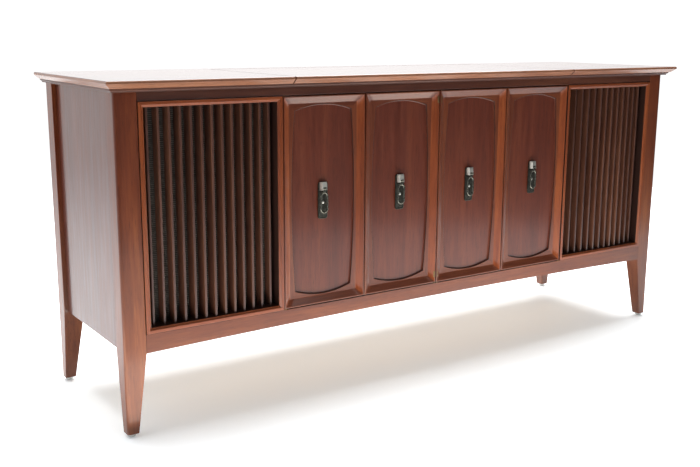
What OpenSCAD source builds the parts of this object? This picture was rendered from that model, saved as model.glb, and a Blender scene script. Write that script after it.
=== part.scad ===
// Radio phonograph console: a long low cabinet on tapered legs, with a lift lid over the
// record changer and tuner, four panelled doors over the record storage, and a finned
// speaker grille at each end. Millimetres, +Z up, the front faces -Y, and the origin is
// on the floor under the middle of the top.

/* [Cabinet] */
// Width of the top slab
top_w = 1730; // [1690:5:1770]
// Depth of the top slab
top_d = 474; // [470:1:490]
// Height from the floor to the top surface
total_h = 762; // [756:1:780]
// How far the top slab overhangs the posts at each side
side_overhang = 25; // [18:1:30]
// How far the top slab overhangs the front
front_overhang = 33; // [26:1:36]
// Height of the legs below the bottom rail
leg_h = 184; // [150:1:200]
// Thickness of the front rails
rail_t = 24; // [22:1:28]

/* [Top] */
// Thickness of the top slabs and the lid
slab_t = 16; // [14:1:18]
// Height of the square band at the slab's edge, above its undercut
slab_band = 6; // [4:1:8]
// How far the undercut runs in under the slab's edge
slab_undercut = 12; // [8:1:14]
// Width of the lift lid
lid_w = 870; // [860:1:872]
// Depth of the fixed strip behind the lid
strip_d = 47.5; // [44:0.5:52]
// Gap on each side of the lid
lid_gap = 1.5; // [1:0.1:2]
// Height of the moulding under the slabs
moulding_h = 8; // [6:1:10]
// How far the moulding stands out from the front and the sides
moulding_out = 15; // [10:1:17]

/* [Legs] */
// Width of a post, seen from the front
post_w = 50; // [44:1:56]
// Depth of a post, seen from the side
post_d = 46; // [40:1:52]
// Width and depth of a leg at its foot
foot_w = 26; // [24:1:32]
// Radius of the post's outer corner
corner_r = 7; // [4:1:10]
// Height of the metal glide under a foot
glide_h = 8; // [6:1:12]
// Radius of the glide
glide_r = 9; // [7:0.5:11]

/* [Doors] */
// Width of the row of four doors
doors_w = 900; // [892:4:908]
// Gap between two doors
door_gap = 2.5; // [2.5:0.1:3]
// Thickness of a door
door_t = 22; // [21:0.5:24]
// Flat rim around a door's face
door_rim = 3; // [2:0.5:4]
// Width of the bevel inside the rim
bevel_w = 15; // [12:1:17]
// Depth of the bevel
bevel_d = 9; // [6:0.5:10]
// Depth of the sunk field, below the bevel's foot
field_d = 5; // [3:0.5:6]
// Radius of a door's pivot pin
pivot_r = 1.5; // [1.3:0.1:1.6]

/* [Grilles] */
// Number of fins in a grille
fins = 13; // [9:2:15]
// Thickness of a fin
fin_t = 5.5; // [4:0.5:7]
// Distance between two fins
fin_pitch = 24; // [21:0.5:24]
// How far the middle fin's edge lies behind the cabinet's front
fin_front = 7.5; // [5:0.5:10]
// How much further back the outermost fins lie
fin_bow = 10; // [0:1:12]
// Width of the grille frame's members
frame_w = 12; // [10:1:14]

/* [Record changer] */
// Radius of the platter
platter_r = 135; // [125:1:140]
// Effective length of the tone arm
arm_len = 198; // [190:1:204]

/* [Hidden] */

// Fineness of round shapes, and of the very large arcs
$fn = 64;
large_arc_fn = 360;
// Overshoot of a cutting shape past the face it cuts
over = 1;
// Radial clearance of a running fit
running = 0.05;

// Levels above the floor
z_slab = total_h - slab_t;
z_frame = z_slab - moulding_h;
z_floor = leg_h + 41;
door_z0 = z_floor + 2;
door_z1 = z_frame - 21;
door_h = door_z1 - door_z0;
z_deck = z_slab - 114;
deck_t = 12;
z_ceiling = z_deck - 87;

// Places along the depth
y_front = -top_d / 2 + front_overhang;
y_back = top_d / 2;
y_inner = y_front + rail_t;
rear_rail_y = y_back - 26;
rear_rail_t = 18;
store_back_y = y_back - 92;

// Places along the width
half_w = top_w / 2 - side_overhang;
inner_half = half_w - post_w;
door_pitch = doors_w / 4;
door_w = door_pitch - door_gap;
grille_w = inner_half - doors_w / 2;
grille_x = doors_w / 2 + grille_w / 2;
board_t = 18;
well_half = doors_w / 2 - board_t;
// The side panels' outer faces lie this far in from the posts', and their inner faces at side_in
panel_set_in = 10;
side_in = half_w - panel_set_in - board_t;

// ---------- Cabinet ----------

// One post with its leg, its outer corner at the origin and its outer faces along X and Y
module post() {
    color("saddlebrown") intersection() {
        translate([0, post_d, 0]) rotate([90, 0, 0]) linear_extrude(post_d)
            polygon([[0, glide_h], [foot_w, glide_h], [post_w, leg_h],
                     [post_w, z_frame], [0, z_frame]]);
        rotate([90, 0, 90]) linear_extrude(post_w)
            polygon([[0, glide_h], [foot_w, glide_h], [post_d, leg_h],
                     [post_d, z_frame], [0, z_frame]]);
        linear_extrude(z_frame) union() {
            translate([corner_r, corner_r]) circle(corner_r);
            translate([corner_r, 0]) square([post_w - corner_r, post_d]);
            translate([0, corner_r]) square([post_w, post_d - corner_r]);
        }
    }
}

// Puts a shape drawn at the front left corner at a corner: right and rear are 0 or 1
module at_corner(right, rear) {
    mirror([right, 0, 0])
        translate([-half_w, rear ? y_back : y_front, 0]) mirror([0, rear, 0]) children();
}

module foot_glides() {
    rim_h = 2;
    color("silver") for (right = [0, 1], rear = [0, 1]) at_corner(right, rear)
        translate([foot_w / 2, foot_w / 2, 0]) {
            cylinder(h = rim_h, r1 = glide_r - rim_h, r2 = glide_r);
            translate([0, 0, rim_h]) cylinder(h = glide_h - rim_h, r = glide_r);
        }
}

// A side panel, set in from the posts' outer faces
module side_panel(right) {
    color("sienna") mirror([right, 0, 0])
        translate([-half_w + panel_set_in, y_front + post_d, leg_h])
            cube([board_t, y_back - y_front - 2 * post_d, z_frame - leg_h]);
}

// The places of the door pivots: doors 1 and 3 turn on their left edge, 2 and 4 on their right
pivot_in = 3;
pivot_back = 2.5;
pivot_len = 12;
function door_x(k) = (k - 1.5) * door_pitch;
function hinge_side(k) = k % 2 == 0 ? -1 : 1;
function pivot_x(k) = door_x(k) + hinge_side(k) * (door_w / 2 - pivot_in);

module pivot_holes(z) {
    for (k = [0:3]) translate([pivot_x(k), y_front + pivot_back, z])
        cylinder(h = pivot_len, r = pivot_r);
}

module front_top_rail() {
    z0 = door_z1 + 2;
    color("sienna") difference() {
        translate([-inner_half, y_front, z0]) cube([2 * inner_half, rail_t, z_frame - z0]);
        pivot_holes(z0);
    }
}

// The bottom rail, whose lower edge rises in a shallow arch
module front_bottom_rail() {
    arch = 9;
    steps = 32;
    rail_top = z_floor;
    edge = [for (i = [0:steps]) let (u = 2 * i / steps - 1)
        [u * inner_half, leg_h + arch * (1 - u * u)]];
    color("sienna") difference() {
        translate([0, y_front + rail_t, 0]) rotate([90, 0, 0]) linear_extrude(rail_t)
            polygon(concat(edge, [[inner_half, rail_top], [-inner_half, rail_top]]));
        pivot_holes(rail_top - pivot_len);
    }
}

module rear_rails() {
    upper_h = 48;
    color("peru") {
        translate([-inner_half, rear_rail_y, leg_h])
            cube([2 * inner_half, rear_rail_t, z_floor - leg_h]);
        translate([-inner_half, rear_rail_y, z_slab - upper_h])
            cube([2 * inner_half, rear_rail_t, upper_h]);
    }
}

// The bottom board lies between the rails, and runs out to the side panels between the posts
module bottom_board() {
    color("peru") translate([0, 0, z_floor - board_t]) {
        translate([-inner_half, y_inner, 0])
            cube([2 * inner_half, rear_rail_y - y_inner, board_t]);
        translate([-side_in, y_front + post_d, 0])
            cube([2 * side_in, y_back - y_front - 2 * post_d, board_t]);
    }
}

// Two walls beside the lid's well with a cleat for the deck, and one between the stores
module partitions() {
    cleat = 18;
    cleat_end = 40;
    depth = rear_rail_y - y_inner;
    color("peru") {
        for (right = [0, 1]) mirror([right, 0, 0]) {
            translate([-well_half - board_t, y_inner, z_floor])
                cube([board_t, depth, z_slab - z_floor]);
            translate([-well_half - over, y_inner + cleat_end, z_deck - deck_t - cleat])
                cube([cleat + over, depth - 2 * cleat_end, cleat]);
        }
        translate([-board_t / 2, y_inner, z_floor])
            cube([board_t, depth, z_ceiling - z_floor]);
    }
}

liner_t = 6;
well_front_t = 12;

// The board behind the upper part of the doors, in front of the deck
module well_front_board() {
    color("sienna") translate([-well_half, y_inner, z_ceiling])
        cube([2 * well_half, well_front_t, z_frame - z_ceiling]);
}

// One record store: its ceiling, its back and its upright dividers
module record_store(x0, x1, dividers) {
    front = y_inner + well_front_t;
    divider_y = y_inner + 30;
    translate([x0, front, z_ceiling]) cube([x1 - x0, store_back_y - front + liner_t, liner_t]);
    translate([x0, store_back_y, z_floor]) cube([x1 - x0, liner_t, z_ceiling - z_floor + over]);
    for (i = [1:dividers])
        translate([x0 + i * (x1 - x0) / (dividers + 1) - liner_t / 2, divider_y, z_floor])
            cube([liner_t, store_back_y - divider_y + over, z_ceiling - z_floor + over]);
}

module record_compartments() {
    color("burlywood") {
        record_store(-well_half, -board_t / 2, 1);
        record_store(board_t / 2, well_half, 2);
    }
}

panel_t = 4;
panel_y = rear_rail_y + rear_rail_t;
bush_x = 300;
bush_z = 262;
bush_r = 7;

// The hardboard back, with groups of vent slots and a hole for the mains lead
module back_panel() {
    slot_w = 60;
    slot_h = 8;
    slot_pitch_x = 84;
    slot_pitch_z = 36;
    first_slot_z = 330;
    side_gap = 2;
    bottom_gap = 6;
    color("tan") difference() {
        translate([-inner_half + side_gap, panel_y, leg_h + bottom_gap])
            cube([2 * (inner_half - side_gap), panel_t, z_frame - leg_h - bottom_gap - 2]);
        for (x = [-grille_x, -210, 210, grille_x], column = [-1, 0, 1], row = [0:7])
            translate([x + column * slot_pitch_x - slot_w / 2, panel_y - over,
                       first_slot_z + row * slot_pitch_z])
                cube([slot_w, panel_t + 2 * over, slot_h]);
        translate([bush_x, panel_y - over, bush_z]) rotate([-90, 0, 0])
            cylinder(h = panel_t + 2 * over, r = bush_r);
    }
}

module mains_bush() {
    flange = 3;
    lead_r = 3.5;
    color("dimgray") translate([bush_x, panel_y, bush_z]) rotate([-90, 0, 0])
        difference() {
            union() {
                cylinder(h = panel_t, r = bush_r);
                for (z = [-flange, panel_t]) translate([0, 0, z])
                    cylinder(h = flange, r = bush_r + flange);
            }
            translate([0, 0, -flange - over])
                cylinder(h = panel_t + 2 * (flange + over), r = lead_r);
        }
}

// ---------- Top ----------

// The slab's edge in outline: length along the first axis, height along the second
function edge_outline(l0, l1, undercut0, undercut1) =
    [[l0 + undercut0, z_slab], [l1 - undercut1, z_slab], [l1, total_h - slab_band],
     [l1, total_h], [l0, total_h], [l0, total_h - slab_band]];

// A fixed slab at the left end, its outer and front edges undercut with a mitred corner
module end_slab() {
    inner_x = -lid_w / 2 - lid_gap / 2;
    intersection() {
        translate([0, y_back, 0]) rotate([90, 0, 0]) linear_extrude(top_d)
            polygon(edge_outline(-top_w / 2, inner_x, slab_undercut, 0));
        translate([-top_w / 2, 0, 0]) rotate([90, 0, 90]) linear_extrude(top_w / 2 + inner_x)
            polygon(edge_outline(-top_d / 2, y_back, slab_undercut, 0));
    }
}

module top_left() {
    color("chocolate") end_slab();
}

module top_right() {
    color("chocolate") mirror([1, 0, 0]) end_slab();
}

// The piano hinge's axis lies its barrel's radius below the top surface
barrel_r = 3;
hinge_y = y_back - strip_d - 4.5;
hinge_z = total_h - barrel_r - 0.2;
hinge_set = 4.5;
leaf_t = 1.2;
leaf_h = 11;
leaf_w = lid_w - 8;
tab_t = 1.5;
knuckles = 21;
knuckle_gap = 0.5;
knuckle_pitch = leaf_w / knuckles;
hinge_pin_r = 1.2;

module top_rear_strip() {
    color("chocolate") translate([-lid_w / 2 + lid_gap / 2, hinge_y + hinge_set, z_slab])
        cube([lid_w - lid_gap, strip_d, slab_t]);
}

module lid() {
    color("chocolate") translate([-lid_w / 2 + lid_gap / 2, 0, 0]) rotate([90, 0, 90])
        linear_extrude(lid_w - lid_gap)
            polygon(edge_outline(-top_d / 2, hinge_y - hinge_set, slab_undercut, 0));
}

// One knuckle along X, with the tab that joins it to its leaf on the side given by dir
module knuckle(i, dir) {
    length = knuckle_pitch - knuckle_gap;
    translate([(i - knuckles / 2) * knuckle_pitch + knuckle_gap / 2, hinge_y, hinge_z]) {
        rotate([0, 90, 0]) cylinder(h = length, r = barrel_r);
        translate([0, dir > 0 ? 0 : -hinge_set + leaf_t / 2, -barrel_r])
            cube([length, hinge_set - leaf_t / 2, tab_t]);
    }
}

module hinge_leaf(dir) {
    y0 = dir > 0 ? hinge_y + hinge_set - leaf_t : hinge_y - hinge_set;
    translate([-leaf_w / 2, y0, hinge_z - barrel_r - leaf_h + tab_t])
        cube([leaf_w, leaf_t, leaf_h]);
}

module lid_hinge_fixed_leaf() {
    color("goldenrod") {
        hinge_leaf(1);
        for (i = [0:2:knuckles - 1]) knuckle(i, 1);
        translate([-leaf_w / 2 + over, hinge_y, hinge_z]) rotate([0, 90, 0])
            cylinder(h = leaf_w - 2 * over, r = hinge_pin_r);
    }
}

module lid_hinge_moving_leaf() {
    color("goldenrod") difference() {
        union() {
            hinge_leaf(-1);
            for (i = [1:2:knuckles - 1]) knuckle(i, -1);
        }
        translate([-lid_w / 2, hinge_y, hinge_z]) rotate([0, 90, 0])
            cylinder(h = lid_w, r = hinge_pin_r + running);
    }
}

// The stepped moulding between the frame and the slabs, in three lengths
module top_moulding() {
    step = 5;
    joint = 0.2;
    side_less = 3;
    color("sienna") {
        for (s = [0, 1]) translate([0, 0, z_frame + s * moulding_h / 2]) {
            out = moulding_out - (1 - s) * step;
            reach = half_w + out - side_less;
            translate([-reach, y_front - out, 0]) cube([2 * reach, rail_t + out, moulding_h / 2]);
            for (right = [0, 1]) mirror([right, 0, 0]) translate([-reach, y_inner + joint, 0])
                cube([reach - side_in, y_back - y_inner - joint, moulding_h / 2]);
        }
    }
}

// ---------- Doors ----------

// The sunk field's outline: four arcs that bow outward
module barrel_outline() {
    margin = 35;
    half_h = door_h / 2 - margin;
    half_field = door_w / 2 - margin;
    side_bow = 9;
    end_rise = 13.5;
    side_r = (half_h * half_h + side_bow * side_bow) / (2 * side_bow);
    end_r = (half_field * half_field + end_rise * end_rise) / (2 * end_rise);
    intersection() {
        lens(half_field + side_bow - side_r, side_r, 0);
        lens(half_h + end_rise - end_r, end_r, 90);
    }
}

// The overlap of two equal discs on opposite sides of the centre
module lens(centre, r, turn) {
    rotate(turn) intersection() {
        translate([centre, 0]) circle(r, $fn = large_arc_fn);
        translate([-centre, 0]) circle(r, $fn = large_arc_fn);
    }
}

// The dished face: a shallow tray with four sloping sides
module dish(half_a, half_b) {
    slope = bevel_w / bevel_d;
    module tray(half) {
        polygon([[-half - slope, -1], [half + slope, -1],
                 [half - bevel_w, bevel_d], [bevel_w - half, bevel_d]]);
    }
    intersection() {
        translate([0, 0, -half_b - bevel_w]) linear_extrude(2 * (half_b + bevel_w)) tray(half_a);
        translate([-half_a - bevel_w, 0, 0]) rotate([0, 90, 0])
            linear_extrude(2 * (half_a + bevel_w)) tray(half_b);
    }
}

module door(k) {
    edge_r = 2;
    side = hinge_side(k);
    color("sienna") translate([door_x(k), y_front, (door_z0 + door_z1) / 2]) difference() {
        translate([0, 0, -door_h / 2]) linear_extrude(door_h) union() {
            for (s = [-1, 1]) translate([s * (door_w / 2 - edge_r), edge_r]) circle(edge_r);
            translate([-door_w / 2 + edge_r, 0]) square([door_w - 2 * edge_r, door_t]);
            translate([-door_w / 2, edge_r]) square([door_w, door_t - edge_r]);
        }
        dish(door_w / 2 - door_rim, door_h / 2 - door_rim);
        translate([0, bevel_d + field_d, 0]) rotate([90, 0, 0])
            linear_extrude(field_d + over) barrel_outline();
        for (z = [-door_h / 2 - over, door_h / 2 - pivot_len])
            translate([side * (door_w / 2 - pivot_in), pivot_back, z])
                cylinder(h = pivot_len + over, r = pivot_r + running);
    }
}

// A pin in each rail at each door's pivot, the lower ones with a collar under the door
module door_pivot_pins() {
    reach = 11;
    collar_r = 2.8;
    collar_h = door_z0 - z_floor - 0.1;
    pin_len = pivot_len + door_z0 - z_floor + reach;
    color("darkgoldenrod") for (k = [0:3])
        translate([pivot_x(k), y_front + pivot_back, 0]) {
            translate([0, 0, z_floor - pivot_len]) cylinder(h = pin_len, r = pivot_r);
            translate([0, 0, z_floor]) cylinder(h = collar_h, r = collar_r);
            translate([0, 0, door_z1 - reach]) cylinder(h = pin_len, r = pivot_r);
        }
}

// A pull: its plate on the sunk field, and its drop hung on a pin between two ears
pull_y = y_front + bevel_d + field_d;
pull_z = (door_z0 + door_z1) / 2;
plate_w = 26;
plate_h = 88;
plate_t = 3;
block_w = 19;
block_out = 12.5;
block_h = 19;
block_below_pin = 3.5;
drop_pin_r = 1.2;
drop_pin_y = pull_y - 9;
drop_pin_z = pull_z + 28;
tongue_w = 8.8;

module pull_plate(k) {
    round_r = 6;
    slot = 0.2;
    color("dimgray") translate([door_x(k), 0, 0]) {
        translate([0, pull_y, pull_z]) rotate([90, 0, 0]) linear_extrude(plate_t) union() {
            for (sx = [-1, 1], sz = [-1, 1])
                translate([sx * (plate_w / 2 - round_r), sz * (plate_h / 2 - round_r)])
                    circle(round_r);
            square([plate_w - 2 * round_r, plate_h], center = true);
            square([plate_w, plate_h - 2 * round_r], center = true);
        }
        difference() {
            translate([-block_w / 2, pull_y - block_out, drop_pin_z - block_below_pin])
                cube([block_w, block_out, block_h]);
            translate([-tongue_w / 2 - slot, pull_y - block_out - over,
                       drop_pin_z - block_below_pin - over])
                cube([tongue_w + 2 * slot, block_out - plate_t + over, 2 * block_below_pin + over]);
        }
        translate([-block_w / 2, drop_pin_y, drop_pin_z]) rotate([0, 90, 0])
            cylinder(h = block_w, r = drop_pin_r);
    }
}

module pull_drop(k) {
    ring_t = 3.6;
    ring_r = 11;
    hole_r = 6.5;
    ring_drop = 33;
    ring_mid = drop_pin_z - ring_drop;
    half_run = 15;
    tongue_low = half_run + hole_r + 2;
    module long_disc(r) {
        for (s = [-1, 1]) translate([0, s * half_run]) circle(r);
        square([2 * r, 2 * half_run], center = true);
    }
    color("gray") translate([door_x(k), drop_pin_y, 0]) {
        translate([0, ring_t / 2, ring_mid]) rotate([90, 0, 0]) linear_extrude(ring_t)
            difference() {
                long_disc(ring_r);
                long_disc(hole_r);
            }
        difference() {
            union() {
                translate([-tongue_w / 2, 0, drop_pin_z]) rotate([0, 90, 0])
                    cylinder(h = tongue_w, r = 3);
                translate([-tongue_w / 2, -ring_t / 2, ring_mid + tongue_low])
                    cube([tongue_w, ring_t, ring_drop - tongue_low]);
            }
            translate([-tongue_w, 0, drop_pin_z]) rotate([0, 90, 0])
                cylinder(h = 2 * tongue_w, r = drop_pin_r + running);
        }
    }
}

// ---------- Speaker ends ----------

frame_gap = 1;
frame_proud = 2;
baffle_y = y_front + 42;
baffle_t = 12;

module grille_frame(side) {
    outer_w = grille_w - 2 * frame_gap;
    outer_h = door_h + 2;
    depth = baffle_y - y_front + frame_proud;
    lip = 3;
    color("sienna") translate([side * grille_x, y_front - frame_proud, (door_z0 + door_z1) / 2])
        difference() {
            translate([-outer_w / 2, 0, -outer_h / 2]) cube([outer_w, depth, outer_h]);
            translate([-outer_w / 2 + frame_w, -over, -outer_h / 2 + frame_w])
                cube([outer_w - 2 * frame_w, depth + 2 * over, outer_h - 2 * frame_w]);
            translate([-outer_w / 2 + frame_w - lip, -over, -outer_h / 2 + frame_w - lip])
                cube([outer_w - 2 * (frame_w - lip), lip + over, outer_h - 2 * (frame_w - lip)]);
        }
}

// Upright fins whose front edges follow a shallow curve, standing out most in the middle
module grille_fins(side) {
    z0 = door_z0 - 1 + frame_w;
    z1 = door_z1 + 1 - frame_w;
    mid = (fins - 1) / 2;
    color("sienna") for (i = [0:fins - 1]) {
        u = (i - mid) / mid;
        y0 = y_front + fin_front + fin_bow * u * u;
        translate([side * grille_x + (i - mid) * fin_pitch - fin_t / 2, y0, z0])
            cube([fin_t, baffle_y - 2 - y0, z1 - z0]);
    }
}

woofer_z = door_z0 + 170;
woofer_r = 118;
woofer_flange = 14;
horn_z = door_z0 + 390;
horn_w = 190;
horn_h = 62;
horn_flange = 10;

module speaker_baffles() {
    color("black") for (side = [-1, 1]) translate([side * grille_x, baffle_y, 0]) difference() {
        translate([-grille_w / 2 + 1, 0, z_floor])
            cube([grille_w - 2, baffle_t, z_frame - z_floor]);
        translate([0, -over, woofer_z]) rotate([-90, 0, 0])
            cylinder(h = baffle_t + 2 * over, r = woofer_r);
        translate([-horn_w / 2, -over, horn_z - horn_h / 2])
            cube([horn_w, baffle_t + 2 * over, horn_h]);
    }
}

// A woofer and a horn behind each baffle
module speaker_drivers() {
    flange = 4;
    cone_depth = 84;
    magnet_r = 46;
    magnet_end = 118;
    throat = [60, 46, 28];
    driver_r = 24;
    driver_l = 34;
    color("gray") for (side = [-1, 1]) translate([side * grille_x, baffle_y + baffle_t, 0]) {
        translate([0, 0, woofer_z]) rotate([-90, 0, 0]) rotate_extrude()
            polygon([[woofer_r - 2, 0], [woofer_r + woofer_flange, 0],
                     [woofer_r + woofer_flange, flange], [woofer_r + 4, flange],
                     [magnet_r, cone_depth], [magnet_r, magnet_end], [0, magnet_end],
                     [0, cone_depth - flange], [magnet_r - 8, cone_depth - flange]]);
        translate([0, 0, horn_z]) {
            translate([-horn_w / 2 - horn_flange, 0, -horn_h / 2 - horn_flange])
                cube([horn_w + 2 * horn_flange, flange, horn_h + 2 * horn_flange]);
            translate([-throat[0] / 2, flange - over, -throat[2] / 2]) cube(throat);
            translate([0, throat[1] + 2, 0]) rotate([-90, 0, 0])
                cylinder(h = driver_l, r = driver_r);
        }
    }
}

// ---------- Record changer ----------

// The changer's plate, and the platter's place on it
platter_x = -255;
platter_y = 20;
plate_top = z_deck + 8;
plate_x0 = -405;
plate_x1 = -75;
plate_y0 = -145;
plate_y1 = 188;
platter_z = plate_top + 8;
platter_top = platter_z + 12;
platter_rim = 6;
spindle_r = 3.6;
spindle_top = z_slab - 24;

// The rubber-tyred idler lies inside the platter's rim, and the motor's pulley against it
drive_angle = 135;
drive_gap = 0.3;
idler_r = 20;
pulley_r = 4;
idler_d = platter_r - platter_rim - idler_r - drive_gap;
pulley_d = idler_d - idler_r - pulley_r - drive_gap;
function drive_at(d) = [platter_x + d * cos(drive_angle), platter_y + d * sin(drive_angle), 0];
stud_r = 2.5;
shaft_r = 2;

turret_x = -105;
turret_y = 125;
turret_pin_z = plate_top + 48;
turret_shaft_r = 4;
record_arm_x = -160;
record_arm_y = 165;
record_shaft_r = 5;
changer_knob_x = -95;
changer_knob_y = -118;
knob_shaft_r = 3;
lift = 0.3;

tuner_x = 225;
tuner_x0 = 62;
tuner_x1 = 388;
tuner_y0 = -128;
tuner_y1 = 138;

module deck_board() {
    margin = 20;
    color("peru") difference() {
        translate([-well_half, y_inner + well_front_t, z_deck - deck_t])
            cube([2 * well_half, rear_rail_y - y_inner - well_front_t, deck_t]);
        translate([plate_x0 + margin, plate_y0 + margin, z_deck - deck_t - over])
            cube([plate_x1 - plate_x0 - 2 * margin, plate_y1 - plate_y0 - 2 * margin,
                  deck_t + 2 * over]);
        translate([tuner_x0, tuner_y0, z_deck - deck_t - over])
            cube([tuner_x1 - tuner_x0, tuner_y1 - tuner_y0, deck_t + 2 * over]);
    }
}

module changer_plate() {
    bore_depth = 7;
    rest_y = turret_y - 155;
    tube_r = 4.5;
    color("whitesmoke") {
        difference() {
            translate([plate_x0, plate_y0, z_deck])
                cube([plate_x1 - plate_x0, plate_y1 - plate_y0, plate_top - z_deck]);
            translate([0, 0, plate_top - bore_depth]) {
                translate([turret_x, turret_y, 0])
                    cylinder(h = bore_depth + over, r = turret_shaft_r + running);
                translate([record_arm_x, record_arm_y, 0])
                    cylinder(h = bore_depth + over, r = record_shaft_r + running);
                translate([changer_knob_x, changer_knob_y, 0])
                    cylinder(h = bore_depth + over, r = knob_shaft_r + running);
            }
            translate([0, 0, z_deck - over]) translate(drive_at(pulley_d))
                cylinder(h = plate_top - z_deck + 2 * over, r = 2 * pulley_r);
        }
        translate([0, 0, plate_top]) {
            translate(drive_at(idler_d)) cylinder(h = 15, r = stud_r);
            translate([turret_x, rest_y, 0])
                cylinder(h = turret_pin_z - plate_top - tube_r - lift, r = 4);
            translate([platter_x, platter_y, 0]) cylinder(h = lift, r = 12);
        }
    }
}

module platter() {
    hub_r = 14;
    skin = 4;
    color("lightgray") translate([platter_x, platter_y, 0]) difference() {
        union() {
            translate([0, 0, platter_z])
                cylinder(h = platter_top - platter_z, r = platter_r, $fn = 128);
            translate([0, 0, plate_top + 3])
                cylinder(h = platter_top - plate_top - 3, r = hub_r);
        }
        translate([0, 0, platter_z - over]) difference() {
            cylinder(h = platter_top - platter_z - skin + over, r = platter_r - platter_rim,
                     $fn = 128);
            cylinder(h = platter_top - platter_z, r = hub_r);
        }
        translate([0, 0, plate_top]) cylinder(h = 40, r = spindle_r + running);
    }
}

module spindle() {
    tip = 6;
    color("silver") translate([platter_x, platter_y, 0]) {
        translate([0, 0, plate_top + lift]) cylinder(h = 2.7, r = 10);
        translate([0, 0, plate_top + lift])
            cylinder(h = spindle_top - tip - plate_top - lift, r = spindle_r);
        translate([0, 0, spindle_top - tip]) cylinder(h = tip, r1 = spindle_r, r2 = 1.6);
    }
}

module record_arm() {
    dx = platter_x - record_arm_x;
    dy = platter_y - record_arm_y;
    reach = sqrt(dx * dx + dy * dy);
    arm_z = spindle_top + 1;
    color("silver") translate([record_arm_x, record_arm_y, 0]) {
        translate([0, 0, plate_top - 7 + lift]) cylinder(h = 7 - lift, r = record_shaft_r);
        translate([0, 0, plate_top + lift]) cylinder(h = 12, r = 10);
        translate([0, 0, plate_top]) cylinder(h = arm_z - plate_top + 9, r = record_shaft_r);
        rotate(atan2(dy, dx)) {
            translate([0, -7, arm_z]) cube([reach, 14, 5]);
            translate([reach, 0, arm_z]) cylinder(h = 8, r = 11);
        }
        translate([0, 0, arm_z]) cylinder(h = 8, r = 10);
    }
}

module tonearm_turret() {
    cheek_t = 3;
    cheek_in = 9;
    base_h = 12;
    color("silver") translate([turret_x, turret_y, 0]) {
        translate([0, 0, plate_top - 6]) cylinder(h = 6 + lift, r = turret_shaft_r);
        translate([0, 0, plate_top + lift]) cylinder(h = base_h, r = 15);
        for (s = [0, 1]) mirror([s, 0, 0])
            translate([cheek_in, -6, plate_top + base_h - over])
                cube([cheek_t, 12, turret_pin_z + 6 - plate_top - base_h + over]);
        translate([-cheek_in - cheek_t, 0, turret_pin_z]) rotate([0, 90, 0])
            cylinder(h = 2 * (cheek_in + cheek_t), r = 1.5);
    }
}

module tonearm() {
    tube_r = 4.5;
    color("beige") translate([turret_x, turret_y, turret_pin_z]) difference() {
        union() {
            translate([0, 40, 0]) rotate([90, 0, 0]) cylinder(h = arm_len + 22, r = tube_r);
            translate([-8.5, -9, -7]) cube([17, 18, 14]);
            translate([0, 40, 0]) rotate([90, 0, 0]) cylinder(h = 22, r = 11);
            translate([-8, -arm_len - 12, -12]) cube([16, 34, 17]);
            translate([-6, -arm_len - 6, -17]) cube([12, 20, 6]);
            translate([0, -arm_len, -20]) cylinder(h = 4, r1 = 0.6, r2 = 2);
        }
        translate([-10, 0, 0]) rotate([0, 90, 0]) cylinder(h = 20, r = 1.5 + running);
    }
}

module motor() {
    can_r = 38;
    can_h = 52;
    color("darkgray") translate(drive_at(pulley_d)) difference() {
        union() {
            translate([0, 0, z_deck - 3 - can_h]) cylinder(h = can_h, r = can_r);
            for (turn = [45, 165, 285]) rotate(turn) translate([can_r - 8, 0, z_deck - 4])
                cylinder(h = 4, r = 5);
        }
        translate([0, 0, z_deck - 20]) cylinder(h = 30, r = shaft_r + running);
    }
}

module motor_pulley() {
    color("goldenrod") translate(drive_at(pulley_d)) {
        translate([0, 0, z_deck - 19]) cylinder(h = plate_top - z_deck + 30, r = shaft_r);
        translate([0, 0, plate_top + 6]) cylinder(h = 8, r = pulley_r);
    }
}

module idler_wheel() {
    color("black") translate(drive_at(idler_d)) translate([0, 0, plate_top + 8]) difference() {
        union() {
            cylinder(h = 5, r = idler_r);
            translate([0, 0, -5]) cylinder(h = 5, r = 6);
        }
        translate([0, 0, -5 - over]) cylinder(h = 12, r = stud_r + running);
    }
}

// A round knob with a waisted skirt over a blind bore
module knob(r, h) {
    skirt_h = 4;
    difference() {
        union() {
            cylinder(h = skirt_h, r = r);
            translate([0, 0, skirt_h]) cylinder(h = h - skirt_h, r = r - 3);
        }
        translate([0, 0, -over]) cylinder(h = h - 4 + over, r = knob_shaft_r + running);
    }
}

module changer_knob() {
    color("ivory") translate([changer_knob_x, changer_knob_y, 0]) {
        translate([0, 0, plate_top - 6]) cylinder(h = 6 + lift, r = knob_shaft_r);
        translate([0, 0, plate_top + lift]) cylinder(h = 5, r = 15);
        translate([0, 0, plate_top + lift]) cylinder(h = 16, r = 11);
    }
}

// ---------- Tuner and amplifier ----------

// The dial housing's sloping face starts here, in depth and height, and rises at this angle
face_y = 20;
panel_top = z_deck + 4;
housing_h = 64;
face_run = 40;
face_angle = atan2(housing_h, face_run);
knob_y = -62;
tuner_shafts = [105, -120, 0];

// Puts a shape in the sloping face's frame: X along the dial, Y up the slope, Z outward
module on_face() {
    translate([tuner_x, face_y, panel_top]) rotate([face_angle, 0, 0]) children();
}

function housing_outline(wall, foot) = [
    [face_y + 1.2 * wall, panel_top - foot],
    [face_y + face_run + 0.7 * wall, panel_top + housing_h - wall],
    [140 - wall, panel_top + housing_h - wall],
    [150 - 1.2 * wall, panel_top - foot]
];

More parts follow.
